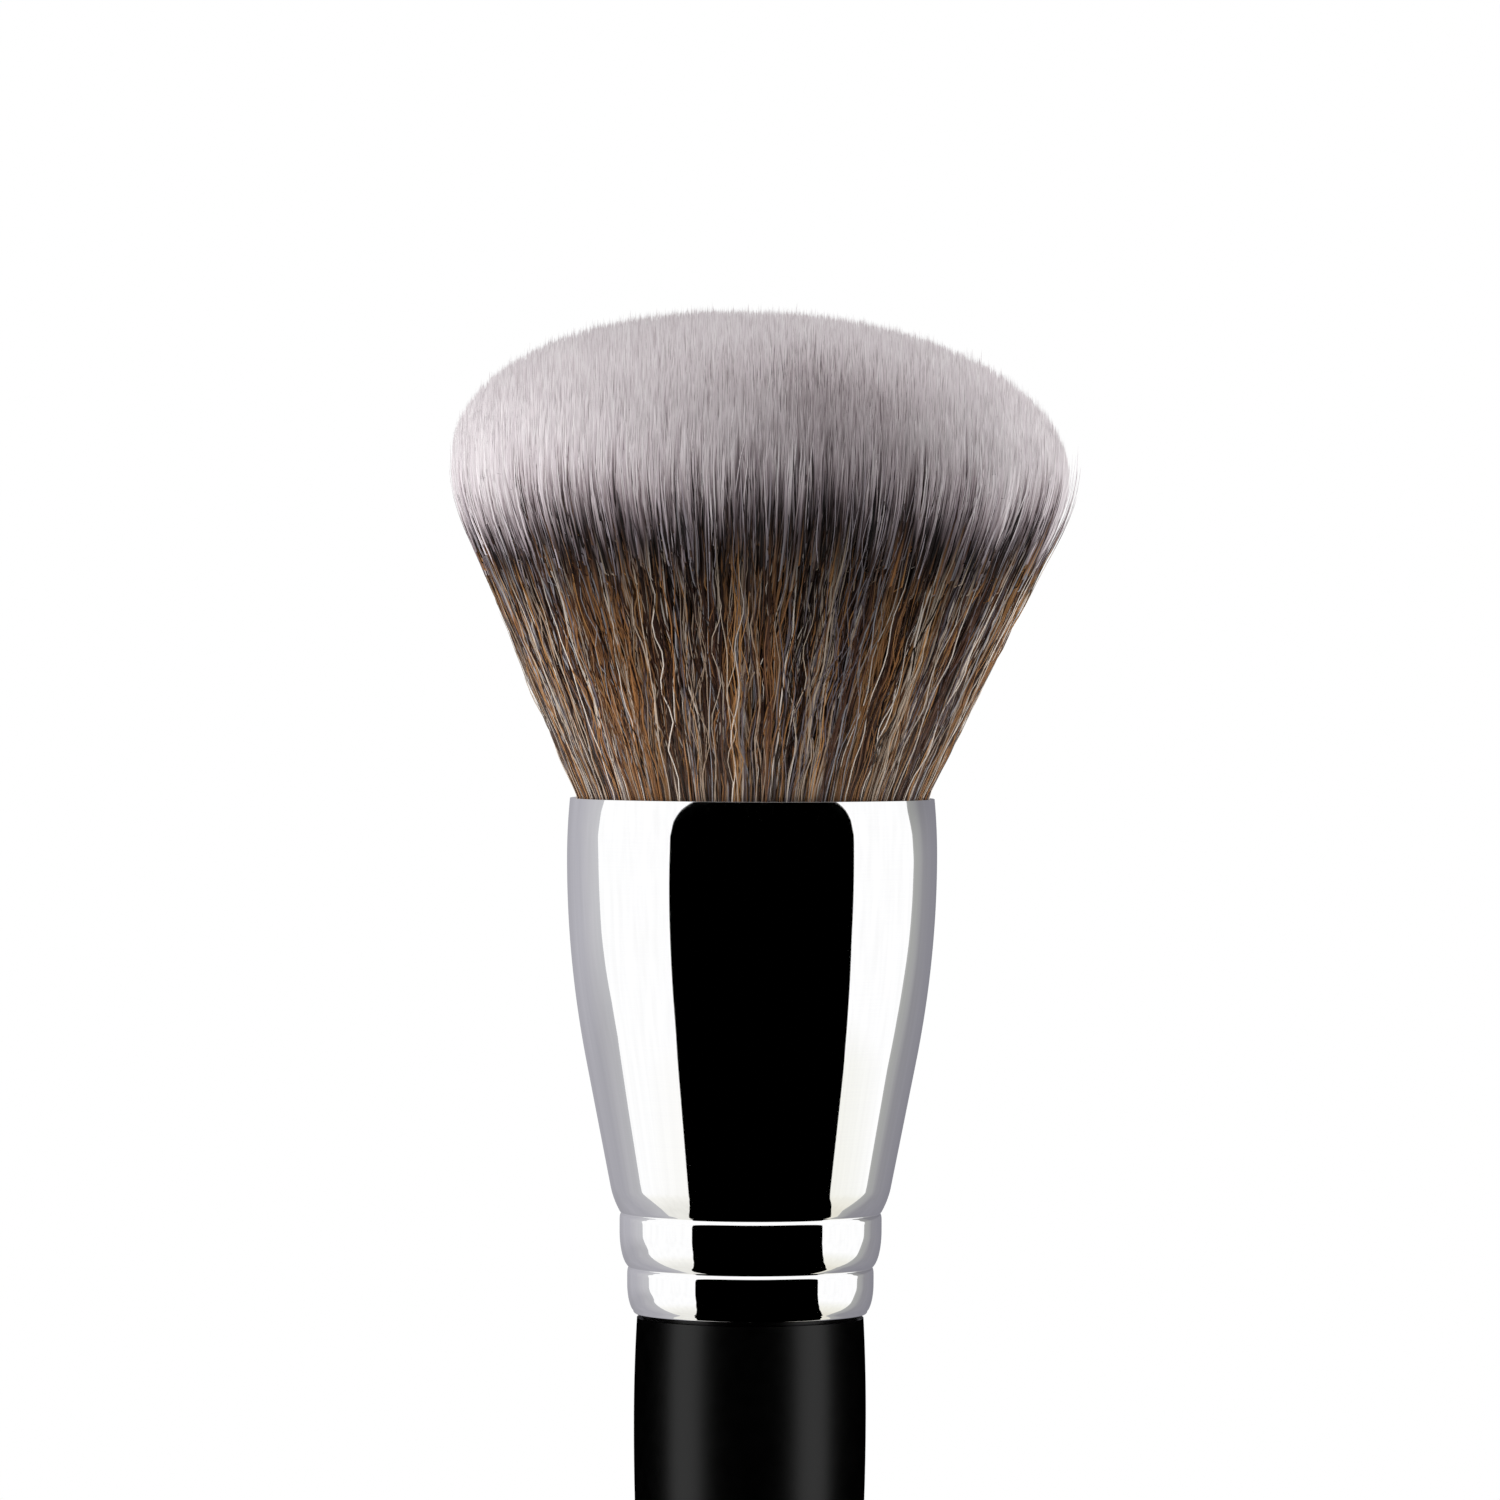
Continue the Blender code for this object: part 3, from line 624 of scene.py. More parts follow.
# Hair so packed that it looks like one dull, streaked body, dyed as the hairs round it are but darker:
# painted shade, as for hair deep in the knot.
HEART_STREAK_WIDTH = 0.8 * MM
HEART_STREAK_LENGTH = 9.0 * MM
HEART_UNEVENNESS = 0.12
heart_material, tree, shader = new_material("packed_hair_in_shade")
where = add(tree, "TexCoord")
split = add(tree, "SeparateXYZ", Vector=where.outputs["Object"])
rise = add(tree, "MapRange", Value=split.outputs["Z"], From_Min=mouth, From_Max=mouth + HEAD_HEIGHT)
stretch = add(
    tree, "Mapping", Vector=where.outputs["Object"],
    Scale=(1.0 / HEART_STREAK_WIDTH, 1.0 / HEART_STREAK_WIDTH, 1.0 / HEART_STREAK_LENGTH),
)
streak = add(tree, "TexNoise", Vector=stretch.outputs["Vector"], Scale=1.0, Detail=3.0)
uneven = add(
    tree, "Math", {"operation": "MULTIPLY_ADD"},
    _0=streak.outputs["Fac"], _1=HEART_UNEVENNESS, _2=rise.outputs["Result"],
)
shade = add(tree, "ValToRGB", Fac=uneven.outputs["Value"])
set_ramp(shade, [(0.0, "2E231E"), (0.4, "2A201D"), (0.52, "1C1617"), (0.62, "5E5658"), (0.72, "A89EA2")])
feed(tree, shader, Base_Color=shade.outputs["Color"], Roughness=0.8)
heart.data.materials.append(heart_material)
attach(heart, "root")

# Binding thread
# Four turns of waxed cotton, 0.8 mm thick, that draw the roots in before they are glued, hidden in the
# ferrule. Its CAD node has the right shape, so it only gets its finish: two plies with a turn every 2.9 mm,
# dulled by wax.
PLY_TURN = 2.9 * MM
PLY_DEPTH = 0.05 * MM
# How far a diagonal wave of scale 1 turns in one unit.
DIAGONAL_WAVE = 10.0 * math.sqrt(3.0)
thread_material, tree, shader = new_material("waxed_cotton_thread")
where = add(tree, "TexCoord")
ply = add(
    tree, "TexWave", {"bands_direction": "DIAGONAL"}, Vector=where.outputs["Object"],
    Scale=math.tau / (DIAGONAL_WAVE * PLY_TURN), Distortion=1.5,
)
cotton = set_ramp(add(tree, "ValToRGB", Fac=ply.outputs["Fac"]), [(0.0, "A8997C"), (1.0, "D8CCB2")])
lay = add(tree, "Bump", Height=ply.outputs["Fac"], Strength=0.4, Distance=PLY_DEPTH)
feed(tree, shader, Base_Color=cotton.outputs["Color"], Normal=lay.outputs["Normal"], Roughness=0.7)
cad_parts["binding_thread"].data.materials.clear()
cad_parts["binding_thread"].data.materials.append(thread_material)

# Epoxy plug
# Amber resin poured round the bound roots, set hard down to the tenon: glossy, with a few clouds of small
# bubbles. It is hidden in the ferrule, and its CAD node has the right shape.
BUBBLE_CLOUD = 3.0 * MM
epoxy_material, tree, shader = new_material("amber_epoxy_resin")
where = add(tree, "TexCoord")
cloud = add(tree, "TexNoise", Vector=where.outputs["Object"], Scale=1.0 / BUBBLE_CLOUD, Detail=4.0)
resin = set_ramp(add(tree, "ValToRGB", Fac=cloud.outputs["Fac"]), [(0.3, "8A5E24"), (0.7, "C79A54")])
feed(tree, shader, Base_Color=resin.outputs["Color"], Roughness=0.2, IOR=1.55)
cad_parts["root_glue"].data.materials.clear()
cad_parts["root_glue"].data.materials.append(epoxy_material)

# Ferrule
# One drawn and spun brass tube, polished and chromed: a drawn-in mouth, a bulged body, a straight cone and
# two rolled bands that grip the handle. It is 39 mm long and 28 mm across, with a wall of 0.4 mm.
FERRULE_STEPS = 192
FERRULE_WALL = 0.4 * MM
RIM_EDGE = 0.012 * MM
MOUTH_RADIUS = 13.79 * MM
CROWN_DEPTH = 4.4 * MM
BODY_BEND_SHARE = 0.62
BODY_END_HEIGHT = 2.0 * MM
BODY_END_DRAW = 0.69 * MM
GROOVE_DEPTH = 0.12 * MM
GROOVE_EDGE = 0.14 * MM
BAND_SHOULDER = 0.5 * MM
UPPER_BAND_RADIUS = 9.92 * MM
UPPER_BAND_HEIGHT = 4.1 * MM
UPPER_BAND_DRAW = 0.58 * MM
LOWER_BAND_RADIUS = 9.33 * MM
LOWER_BAND_HEIGHT = 3.5 * MM
LOWER_BAND_DRAW = 0.46 * MM
BAND_STRAIGHT_SHARE = 0.2
BAND_FOOT_SHARE = 0.95
LIP_EDGE = 0.22 * MM

ferrule_low, ferrule_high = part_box("ferrule")
crown_radius = ferrule_high.x
ferrule_end = ferrule_low.z
lower_groove = ferrule_end + LOWER_BAND_HEIGHT
upper_groove = lower_groove + UPPER_BAND_HEIGHT
cone_end = upper_groove + BODY_END_HEIGHT
cone_end_radius = UPPER_BAND_RADIUS + BODY_END_DRAW
crown = mouth - CROWN_DEPTH
lip_radius = LOWER_BAND_RADIUS - LOWER_BAND_DRAW - LIP_EDGE


def bend_then_straight(share, bend_share):
    """How far a side has come in at this share of its height: a parabola that runs on as its own tangent."""
    steepness = 1.0 / (bend_share * (2.0 - bend_share))
    if share <= bend_share:
        return steepness * share**2
    return steepness * bend_share * (2.0 * share - bend_share)


def circle_drop(share):
    """How far a unit circle falls from its top at this share of its radius."""
    return 1.0 - math.sqrt(1.0 - share**2)


def body_radius(height):
    """The bulged body's outer radius at this height, from the crown down to the cone's end."""
    share = (crown - height) / (crown - cone_end)
    return crown_radius - (crown_radius - cone_end_radius) * bend_then_straight(share, BODY_BEND_SHARE)


def rolled_band(top, height, radius, draw_in, foot_edge):
    """A rolled band's outline: up out of its groove, over a rounded shoulder and down a round foot."""
    points = [(radius - GROOVE_DEPTH, top)]
    for turn in np.linspace(0.0, math.pi / 2, 9)[1:]:
        rise = GROOVE_DEPTH * (1.0 - math.sin(turn))
        points.append((radius - rise, top - BAND_SHOULDER * (1.0 - math.cos(turn))))
    straight_end = top - BAND_SHOULDER - BAND_STRAIGHT_SHARE * height
    round_height = straight_end - (top - height) - foot_edge
    for share in np.linspace(0.0, 1.0, 13):
        drawn_in = draw_in * circle_drop(BAND_FOOT_SHARE * share) / circle_drop(BAND_FOOT_SHARE)
        points.append((radius - drawn_in, straight_end - round_height * share))
    return points


# The outline starts at the rim and runs down the outside, round the lip and up the inside. Its first steps
# under the rim are short, so that the edge there stays crisp.
ferrule_outline = [(MOUTH_RADIUS - FERRULE_WALL, mouth - RIM_EDGE)]
wall_middle = MOUTH_RADIUS - FERRULE_WALL / 2
for turn in np.linspace(0.0, math.pi, 9):
    height = mouth - RIM_EDGE + RIM_EDGE * math.sin(turn)
    ferrule_outline.append((wall_middle - FERRULE_WALL / 2 * math.cos(turn), height))
for share in [0.0015, 0.03, 0.08, *np.linspace(0.15, 1.0, 9)]:
    swell = (crown_radius - MOUTH_RADIUS) * (1.0 - (1.0 - share) ** 2)
    ferrule_outline.append((MOUTH_RADIUS + swell, mouth - RIM_EDGE - (CROWN_DEPTH - RIM_EDGE) * share))
for share in np.linspace(0.0, 1.0, 41)[1:]:
    height = crown - (crown - cone_end) * share
    ferrule_outline.append((body_radius(height), height))
slope = 2.0 / (2.0 - BODY_BEND_SHARE) * (crown_radius - cone_end_radius) / (crown - cone_end)
foot_length = BODY_END_HEIGHT - GROOVE_EDGE
foot_bend = BODY_END_DRAW - slope * foot_length
for share in np.linspace(0.0, 1.0, 13)[1:]:
    drawn_in = slope * foot_length * share + foot_bend * share**2
    ferrule_outline.append((cone_end_radius - drawn_in, cone_end - foot_length * share))
upper_band = (upper_groove, UPPER_BAND_HEIGHT, UPPER_BAND_RADIUS, UPPER_BAND_DRAW, GROOVE_EDGE)
lower_band = (lower_groove, LOWER_BAND_HEIGHT, LOWER_BAND_RADIUS, LOWER_BAND_DRAW, LIP_EDGE)
ferrule_outline += rolled_band(*upper_band) + rolled_band(*lower_band)
for turn in np.linspace(0.0, math.pi / 2, 5)[1:]:
    height = ferrule_end + LIP_EDGE * (1.0 - math.sin(turn))
    ferrule_outline.append((lip_radius + LIP_EDGE * math.cos(turn), height))
inside = [
    (lip_radius, ferrule_end),
    (LOWER_BAND_RADIUS, lower_groove - LOWER_BAND_HEIGHT / 2),
    (LOWER_BAND_RADIUS - GROOVE_DEPTH, lower_groove),
    (UPPER_BAND_RADIUS, upper_groove - UPPER_BAND_HEIGHT / 2),
    (UPPER_BAND_RADIUS - GROOVE_DEPTH, upper_groove),
]
inside += [(body_radius(height), height) for height in np.linspace(cone_end, crown, 13)]
ferrule_outline += [(radius - FERRULE_WALL, height) for radius, height in inside]
ferrule_outline.append(ferrule_outline[0])
ferrule_outline = [(float(radius), float(height)) for radius, height in ferrule_outline]
ferrule = turn_outline("ferrule_shell", ferrule_outline, FERRULE_STEPS)

# Bright chrome plate over polished brass: a cold mirror, with faint lines from the polishing wheel round it.
POLISH_LINE_LENGTH = 6.0 * MM
POLISH_LINE_WIDTH = 0.05 * MM
chrome, tree, shader = new_material("polished_chrome_plate")
where = add(tree, "TexCoord")
wheel = add(
    tree, "Mapping", Vector=where.outputs["Object"],
    Scale=(1.0 / POLISH_LINE_LENGTH, 1.0 / POLISH_LINE_LENGTH, 1.0 / POLISH_LINE_WIDTH),
)
lines = add(tree, "TexNoise", Vector=wheel.outputs["Vector"], Scale=1.0, Detail=2.0)
haze = add(tree, "MapRange", Value=lines.outputs["Fac"], To_Min=0.02, To_Max=0.035)
plate = set_ramp(add(tree, "ValToRGB", Fac=lines.outputs["Fac"]), [(0.3, "FDFDFE"), (0.7, "FFFFFF")])
feed(tree, shader, Base_Color=plate.outputs["Color"], Roughness=haze.outputs["Result"], Metallic=1.0)
ferrule.data.materials.append(chrome)
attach(ferrule, "root")
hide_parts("ferrule")

# Glue collar
# White wood glue that fills the tenon's groove, hidden in the bands: set hard, chalky, a little uneven.
# Its CAD node has the right shape.
CHALK_CLOUD = 1.5 * MM
glue_material, tree, shader = new_material("white_wood_glue")
where = add(tree, "TexCoord")
chalk = add(tree, "TexNoise", Vector=where.outputs["Object"], Scale=1.0 / CHALK_CLOUD, Detail=3.0)
white = set_ramp(add(tree, "ValToRGB", Fac=chalk.outputs["Fac"]), [(0.3, "D9D5C8"), (0.7, "EDEAE0")])
feed(tree, shader, Base_Color=white.outputs["Color"], Roughness=0.45)
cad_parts["tenon_glue"].data.materials.clear()
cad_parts["tenon_glue"].data.materials.append(glue_material)

# Handle
# Turned beech, filled, sprayed with several coats of black lacquer and rubbed to a soft gloss: 109 mm from
# the shoulder under the ferrule to the butt, 17.6 mm at its belly, with a tenon 18 mm up into the ferrule.
HANDLE_STEPS = 160
SHOULDER_RADIUS = 8.58 * MM
BELLY_DROP = 7.6 * MM
BELLY_BEND_SHARE = 0.1
BUTT_RADIUS = 4.4 * MM
BUTT_ROUND = 4.2 * MM
BUTT_FLAT_RADIUS = 1.9 * MM
TENON_LENGTH = 18.0 * MM
TENON_CHAMFER = 0.8 * MM
GLUE_GROOVE_DEPTH = 0.8 * MM
GLUE_GROOVE_HEIGHT = 4.4 * MM
GLUE_GROOVE_START = 2.4 * MM
SEAT_GAP = 0.3 * MM
SHARP_EDGE = math.radians(35)

handle_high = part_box("handle")[1]
belly_radius = handle_high.x
shoulder = handle_high.z - TENON_LENGTH
tenon_radius = lip_radius - FERRULE_WALL - SEAT_GAP
groove_bottom = shoulder + GLUE_GROOVE_START
groove_top = groove_bottom + GLUE_GROOVE_HEIGHT
belly = shoulder - BELLY_DROP
handle_outline = [
    (0.0, handle_high.z),
    (tenon_radius - TENON_CHAMFER, handle_high.z),
    (tenon_radius, handle_high.z - TENON_CHAMFER),
    (tenon_radius, groove_top),
    (tenon_radius - GLUE_GROOVE_DEPTH, groove_top),
    (tenon_radius - GLUE_GROOVE_DEPTH, groove_bottom),
    (tenon_radius, groove_bottom),
    (tenon_radius, shoulder),
]
for share in np.linspace(0.0, 1.0, 13):
    swell = (belly_radius - SHOULDER_RADIUS) * (1.0 - (1.0 - share) ** 2)
    handle_outline.append((SHOULDER_RADIUS + swell, shoulder - BELLY_DROP * share))
taper = belly - BUTT_ROUND
for share in [*np.linspace(0.0, BELLY_BEND_SHARE, 7)[1:], *np.linspace(BELLY_BEND_SHARE, 1.0, 10)[1:]]:
    drawn_in = (belly_radius - BUTT_RADIUS) * bend_then_straight(share, BELLY_BEND_SHARE)
    handle_outline.append((belly_radius - drawn_in, belly - taper * share))
for turn in np.linspace(0.0, math.pi / 2, 13)[1:]:
    radius = BUTT_FLAT_RADIUS + (BUTT_RADIUS - BUTT_FLAT_RADIUS) * math.cos(turn)
    handle_outline.append((radius, BUTT_ROUND * (1.0 - math.sin(turn))))
handle_outline.append((0.0, 0.0))
handle_outline = [(float(radius), float(height)) for radius, height in handle_outline]
handle = turn_outline("lacquered_handle", handle_outline, HANDLE_STEPS)
bpy.ops.object.select_all(action="DESELECT")
handle.select_set(True)
bpy.context.view_layer.objects.active = handle
bpy.ops.object.shade_smooth_by_angle(angle=SHARP_EDGE)

# Black lacquer: deep black, with soft-edged reflections that a faint orange peel keeps from being quite even.
ORANGE_PEEL = 1.2 * MM
PEEL_DEPTH = 0.01 * MM
lacquer, tree, shader = new_material("black_lacquered_wood")
where = add(tree, "TexCoord")
peel = add(tree, "TexNoise", Vector=where.outputs["Object"], Scale=1.0 / ORANGE_PEEL, Detail=2.0)
soft = add(tree, "MapRange", Value=peel.outputs["Fac"], To_Min=0.31, To_Max=0.34)
black = set_ramp(add(tree, "ValToRGB", Fac=peel.outputs["Fac"]), [(0.3, "000000"), (0.7, "020202")])
ripple = add(tree, "Bump", Height=peel.outputs["Fac"], Strength=0.05, Distance=PEEL_DEPTH)
feed(
    tree, shader,
    Base_Color=black.outputs["Color"], Roughness=soft.outputs["Result"], Normal=ripple.outputs["Normal"],
)
handle.data.materials.append(lacquer)
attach(handle, "root")
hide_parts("handle")

# Floor
# A round sheet of pale, matt board under the brush. It takes the brush's shadow, and further out the camera
# sees it as white as the room.
FLOOR_RADIUS = 560.0 * MM
WHITE_FROM = 120.0 * MM
WHITE_WHOLE = 420.0 * MM
bpy.ops.object.select_all(action="DESELECT")
bpy.ops.mesh.primitive_circle_add(vertices=96, radius=FLOOR_RADIUS, fill_type="NGON")
floor = bpy.context.object
floor.name = "floor"
floor.visible_glossy = False
floor_material, tree, shader = new_material("pale_board")
feed(tree, shader, Base_Color=linear("F6F6F6"), Roughness=0.8)
where = add(tree, "TexCoord")
far = add(tree, "VectorMath", {"operation": "LENGTH"}, _0=where.outputs["Object"])
fade = add(
    tree, "MapRange", {"interpolation_type": "SMOOTHSTEP"},
    Value=far.outputs["Value"], From_Min=WHITE_FROM, From_Max=WHITE_WHOLE,
)
seen = add(tree, "LightPath")
whiteness = add(
    tree, "Math", {"operation": "MULTIPLY"},
    _0=fade.outputs["Result"], _1=seen.outputs["Is Camera Ray"],
)
white = add(tree, "Emission", Color=linear("FFFFFF"), Strength=1.0)
mixed = add(
    tree, "MixShader",
    Fac=whiteness.outputs["Value"], _1=shader.outputs["BSDF"], _2=white.outputs["Emission"],
)
feed(tree, tree.nodes["Material Output"], Surface=mixed.outputs["Shader"])
floor.data.materials.append(floor_material)

# Light
# A white room with three soft boxes: one low at each side of the brush and a weaker one high at the left.
# The room lights the brush at its own lower level, and shows as plain white behind it and in mirrors.
ROOM_LEVEL = 0.37
LIGHT_TARGET = Vector((0.0, 0.0, 0.14))
world = bpy.data.worlds.new("white_room")
bpy.context.scene.world = world
world.use_nodes = True
tree = world.node_tree
seen = add(tree, "LightPath")
mirrored = add(
    tree, "Math", {"operation": "ADD"},
    _0=seen.outputs["Is Camera Ray"], _1=seen.outputs["Is Glossy Ray"],
)
shown = add(
    tree, "Math", {"operation": "ADD", "use_clamp": True},
    _0=mirrored.outputs["Value"], _1=seen.outputs["Is Transmission Ray"],
)
level = add(tree, "MapRange", Value=shown.outputs["Value"], To_Min=ROOM_LEVEL, To_Max=1.0)
feed(tree, tree.nodes["Background"], Color=linear("FFFFFF"), Strength=level.outputs["Result"])


def direction(azimuth, elevation):
    """A unit vector from the brush: azimuth 0 is towards the camera and 90 to the right, both in degrees."""
    turn = math.radians(azimuth)
    rise = math.radians(elevation)
    return Vector((math.sin(turn) * math.cos(rise), -math.cos(turn) * math.cos(rise), math.sin(rise)))


def soft_box(name, azimuth, elevation, size, power, distance=0.6, mirrored=False):
    """An area lamp that faces the brush. If it isn't mirrored, shiny pieces show the room in its place."""
    lamp = bpy.data.lights.new(name, "AREA")
    lamp.shape = "RECTANGLE"
    lamp.size, lamp.size_y = size
    lamp.energy = power
    box = bpy.data.objects.new(name, lamp)
    bpy.context.scene.collection.objects.link(box)
    box.location = LIGHT_TARGET + direction(azimuth, elevation) * distance
    box.rotation_euler = (LIGHT_TARGET - box.location).to_track_quat("-Z", "Y").to_euler()
    box.visible_glossy = mirrored
    box.visible_camera = False
    return box


soft_box("left_soft_box", azimuth=-82.0, elevation=8.0, size=(0.35, 0.6), power=3.15)
soft_box("right_soft_box", azimuth=112.0, elevation=18.0, size=(0.4, 0.6), power=3.6)
soft_box("upper_soft_box", azimuth=-50.0, elevation=65.0, size=(0.4, 0.5), power=1.12)

# Cards that the chrome mirrors
# Bent cards round the brush: a black one in front, as a screen before the camera would be, white ones over
# it and at its sides, and grey ones behind. Only shiny surfaces see them, and they are dark to the handle's
# lacquer. Their borders are (elevation, azimuth) in degrees.
CARD_DISTANCE = 0.8
CARD_BOTTOM = -89.0
CARD_TOP = 85.0
CARD_SQUARES = 64
CARD_STREAKS = (90.0, 50.0, 1.0)
STREAK_LEVELS = (0.97, 1.03)
DEGREES_ROUND = 360.0
BLACK_TOP = 10.5
BLACK_ROUNDING = 8.2
BLACK_CORNER = 0.61
AHEAD = ((0, 0),)
BLACK_LEFT = (
    (-89, -100), (-60, -84), (-51, -73), (-45, -64.5), (-39, -59.5), (-31, -55.5), (-25, -54.3), (-20, -52.9),
    (-6, -52.5), (0, -51.8),
)
BLACK_RIGHT = (
    (-89, 116), (-60, 104), (-45, 93), (-40, 84.5), (-29, 73.4), (-23.5, 70.6), (-20.7, 68.8), (-16, 67.2),
    (-10, 65.7), (0, 65.6),
)
GREY_LEFT = (
    (-89, -118), (-60, -104), (-50, -94), (-37, -94), (-30, -97), (-21, -103.5), (-18.7, -105.5),
    (-17, -103.5), (-12.7, -105.5), (-8.6, -109.3), (-3, -110), (1.3, -111.5), (3.1, -110.3), (3.8, -108.5),
    (5.1, -105),
)
GREY_RIGHT = (
    (-89, 136), (-60, 114), (-50, 102), (-37, 98), (-30, 103), (-21, 110), (-18, 112.4), (-15.3, 113.4),
    (-11.6, 115), (-7.9, 118), (-2.6, 120), (1.1, 118), (2.9, 115.4), (3.6, 113.7), (4.6, 113),
)
ALL_BLACK = ((-90, "000000"), (90, "000000"))
ALL_WHITE = ((-90, "FFFFFF"), (90, "FFFFFF"))
WARM_FOOT_LEFT = ((-40, "E9E8E2"), (-28, "F6F5F0"), (-21, "FFFFFF"))
WARM_FOOT_RIGHT = ((-40, "E4E1D4"), (-26, "F1F0E7"), (-21.5, "F6F6F1"), (-17, "FFFFFF"))

card_centre = Vector((0.0, 0.0, mouth))
mirror_parts = bpy.data.collections.new("parts_that_mirror_the_cards")
bpy.context.scene.collection.children.link(mirror_parts)
mirror_parts.objects.link(ferrule)
for piece, _ in hair_pieces:
    mirror_parts.objects.link(piece)


def border(points, elevation):
    """The azimuth of a border at this elevation."""
    return float(np.interp(elevation, [point[0] for point in points], [point[1] for point in points]))


def ramp_place(degrees):
    """Where an angle lies on a colour ramp that spans a whole turn."""
    return degrees / DEGREES_ROUND + 0.5


def mirror_card(
    name, left, right, tones, upward_tones,
    middle=AHEAD, low=CARD_BOTTOM, high=CARD_TOP, rounded=0.0, distance=CARD_DISTANCE,
):
    """One faintly streaked card. Its tones are (degrees of azimuth past the middle border, hex code), and its
    upward tones, which those are multiplied by, are (elevation, hex code)."""
    bpy.ops.object.select_all(action="DESELECT")
    bpy.ops.mesh.primitive_grid_add(x_subdivisions=CARD_SQUARES, y_subdivisions=CARD_SQUARES, size=2.0)
    card = bpy.context.object
    card.name = name
    places = []
    for vertex in card.data.vertices:
        across = (vertex.co.x + 1.0) / 2
        up = (vertex.co.y + 1.0) / 2
        corner = max(0.0, abs(2.0 * across - 1.0) - (1.0 - rounded)) / rounded if rounded else 0.0
        top = high - BLACK_ROUNDING * circle_drop(min(corner, 1.0))
        elevation = low + (top - low) * up
        azimuth = border(left, elevation) + (border(right, elevation) - border(left, elevation)) * across
        places.append((ramp_place(azimuth - border(middle, elevation)), ramp_place(elevation)))
        vertex.co = card_centre + direction(azimuth, elevation) * distance
    layer = card.data.uv_layers.new(name="card")
    for loop in card.data.loops:
        layer.uv[loop.index].vector = places[loop.vertex_index]
    made = bpy.data.materials.new(name)
    made.use_nodes = True
    made.cycles.emission_sampling = "NONE"
    tree = made.node_tree
    tree.nodes.clear()
    where = add(tree, "UVMap", {"uv_map": "card"})
    split = add(tree, "SeparateXYZ", Vector=where.outputs["UV"])
    across = add(tree, "ValToRGB", Fac=split.outputs["X"])
    set_ramp(across, [(ramp_place(degrees), code) for degrees, code in tones])
    upward = add(tree, "ValToRGB", Fac=split.outputs["Y"])
    set_ramp(upward, [(ramp_place(degrees), code) for degrees, code in upward_tones])
    both = add(
        tree, "Mix", {"data_type": "RGBA", "blend_type": "MULTIPLY"},
        _0=1.0, _6=across.outputs["Color"], _7=upward.outputs["Color"],
    )
    sweep = add(tree, "Mapping", Vector=where.outputs["UV"], Scale=CARD_STREAKS)
    streak = add(tree, "TexNoise", Vector=sweep.outputs["Vector"], Scale=1.0, Detail=2.0)
    level = add(
        tree, "MapRange", Value=streak.outputs["Fac"],
        From_Min=0.3, From_Max=0.7, To_Min=STREAK_LEVELS[0], To_Max=STREAK_LEVELS[1],
    )
    glow = add(tree, "Emission", Color=both.outputs[2], Strength=level.outputs["Result"])
    add(tree, "OutputMaterial", Surface=glow.outputs["Emission"])
    card.data.materials.append(made)
    card.visible_camera = False
    card.visible_diffuse = False
    card.visible_transmission = False
    card.visible_volume_scatter = False
    card.visible_shadow = False
    card.light_linking.receiver_collection = mirror_parts


mirror_card(
    "front_card", BLACK_LEFT, BLACK_RIGHT, ALL_BLACK, ALL_WHITE,
    high=BLACK_TOP, rounded=BLACK_CORNER,
)
mirror_card(
    "upper_front_card", ((0, -53),), ((0, 67),), ALL_WHITE, ALL_WHITE,
    low=BLACK_TOP - BLACK_ROUNDING, distance=1.02 * CARD_DISTANCE,
)
mirror_card("left_card", GREY_LEFT, BLACK_LEFT, ALL_WHITE, WARM_FOOT_LEFT)
mirror_card("right_card", BLACK_RIGHT, GREY_RIGHT, ALL_WHITE, WARM_FOOT_RIGHT)
mirror_card(
    "left_grey_card", ((0, -180),), GREY_LEFT,
    ((-60, "A9A8AF"), (-47, "ACABB2"), (-38, "B3B2B9"), (-26, "B2B1B8"), (-14, "BDBCC1"), (0, "C5C5C8")),
    ((-40, "F0F0F0"), (-13, "EDEDED"), (-6, "FFFFFF")),
    middle=GREY_LEFT,
)
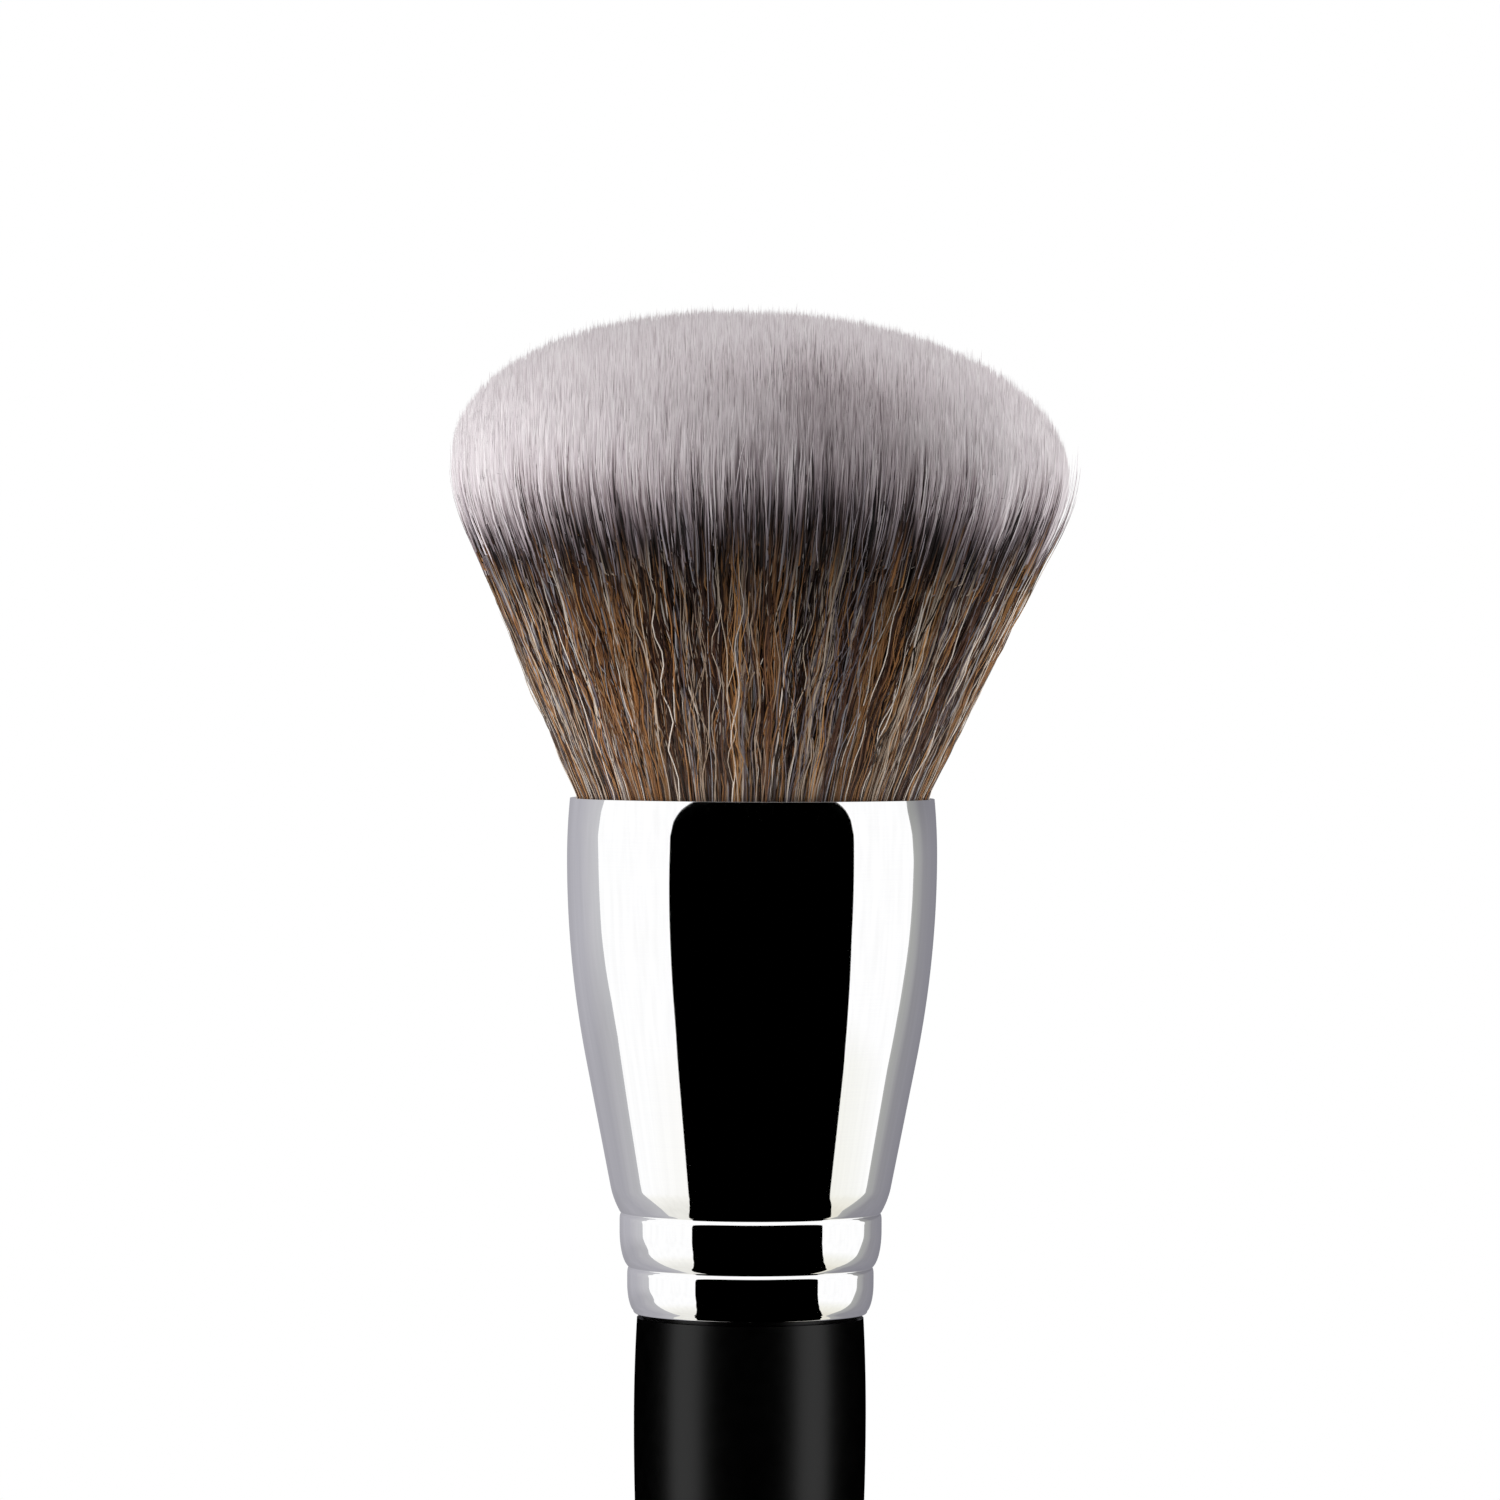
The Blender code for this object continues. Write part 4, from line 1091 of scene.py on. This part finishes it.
mirror_card(
    "right_grey_card", GREY_RIGHT, ((0, 180),),
    ((0, "B0B0AF"), (3, "A5A6A4"), (9, "A0A0A1"), (15, "8E8D92"), (27, "8C8B92"), (45, "86858D")),
    ((-40, "FFFFFF"), (-1, "FFFFFF"), (3, "EAEAEA")),
    middle=GREY_RIGHT,
)

# Strip lights that the handle mirrors
# Two tall lamps that light the handle alone. Its lacquer shows them as a soft streak at each side.
STRIP_SIZE = (0.4, 1.1)
STRIP_DISTANCE = 0.62
STRIP_POWER = 1.3
lacquered_parts = bpy.data.collections.new("parts_that_mirror_the_strip_lights")
bpy.context.scene.collection.children.link(lacquered_parts)
lacquered_parts.objects.link(handle)
for name, azimuth in (("left_strip", -67.0), ("right_strip", 65.0)):
    strip = soft_box(name, azimuth, 0.0, STRIP_SIZE, STRIP_POWER, STRIP_DISTANCE, mirrored=True)
    strip.light_linking.receiver_collection = lacquered_parts

# Camera
# The photograph's: a long lens as high as the dark band's foot, 598 mm from the brush's axis, turned down by
# less than a degree.
CAMERA_DISTANCE = 598.0 * MM
CAMERA_HEIGHT = 160.5 * MM
CAMERA_ASIDE = -0.19 * MM
CAMERA_TILT = math.radians(90.0 - 0.82)
CAMERA_ROLL = math.radians(0.23)
PIXELS_PER_MM = 13.22
PHOTO_SIDE = 1500
SENSOR_WIDTH = 36.0
camera_data = bpy.data.cameras.new("camera")
camera_data.sensor_width = SENSOR_WIDTH
camera_data.lens = SENSOR_WIDTH * PIXELS_PER_MM * (CAMERA_DISTANCE / MM) / PHOTO_SIDE
camera_data.clip_start = 0.05
camera_data.clip_end = 20.0
camera = bpy.data.objects.new("camera", camera_data)
bpy.context.scene.collection.objects.link(camera)
aim = Matrix.Rotation(CAMERA_TILT, 4, "X") @ Matrix.Rotation(CAMERA_ROLL, 4, "Z")
camera.matrix_world = Matrix.Translation((CAMERA_ASIDE, -CAMERA_DISTANCE, CAMERA_HEIGHT)) @ aim
bpy.context.scene.camera = camera
bpy.context.scene.view_settings.view_transform = "Standard"
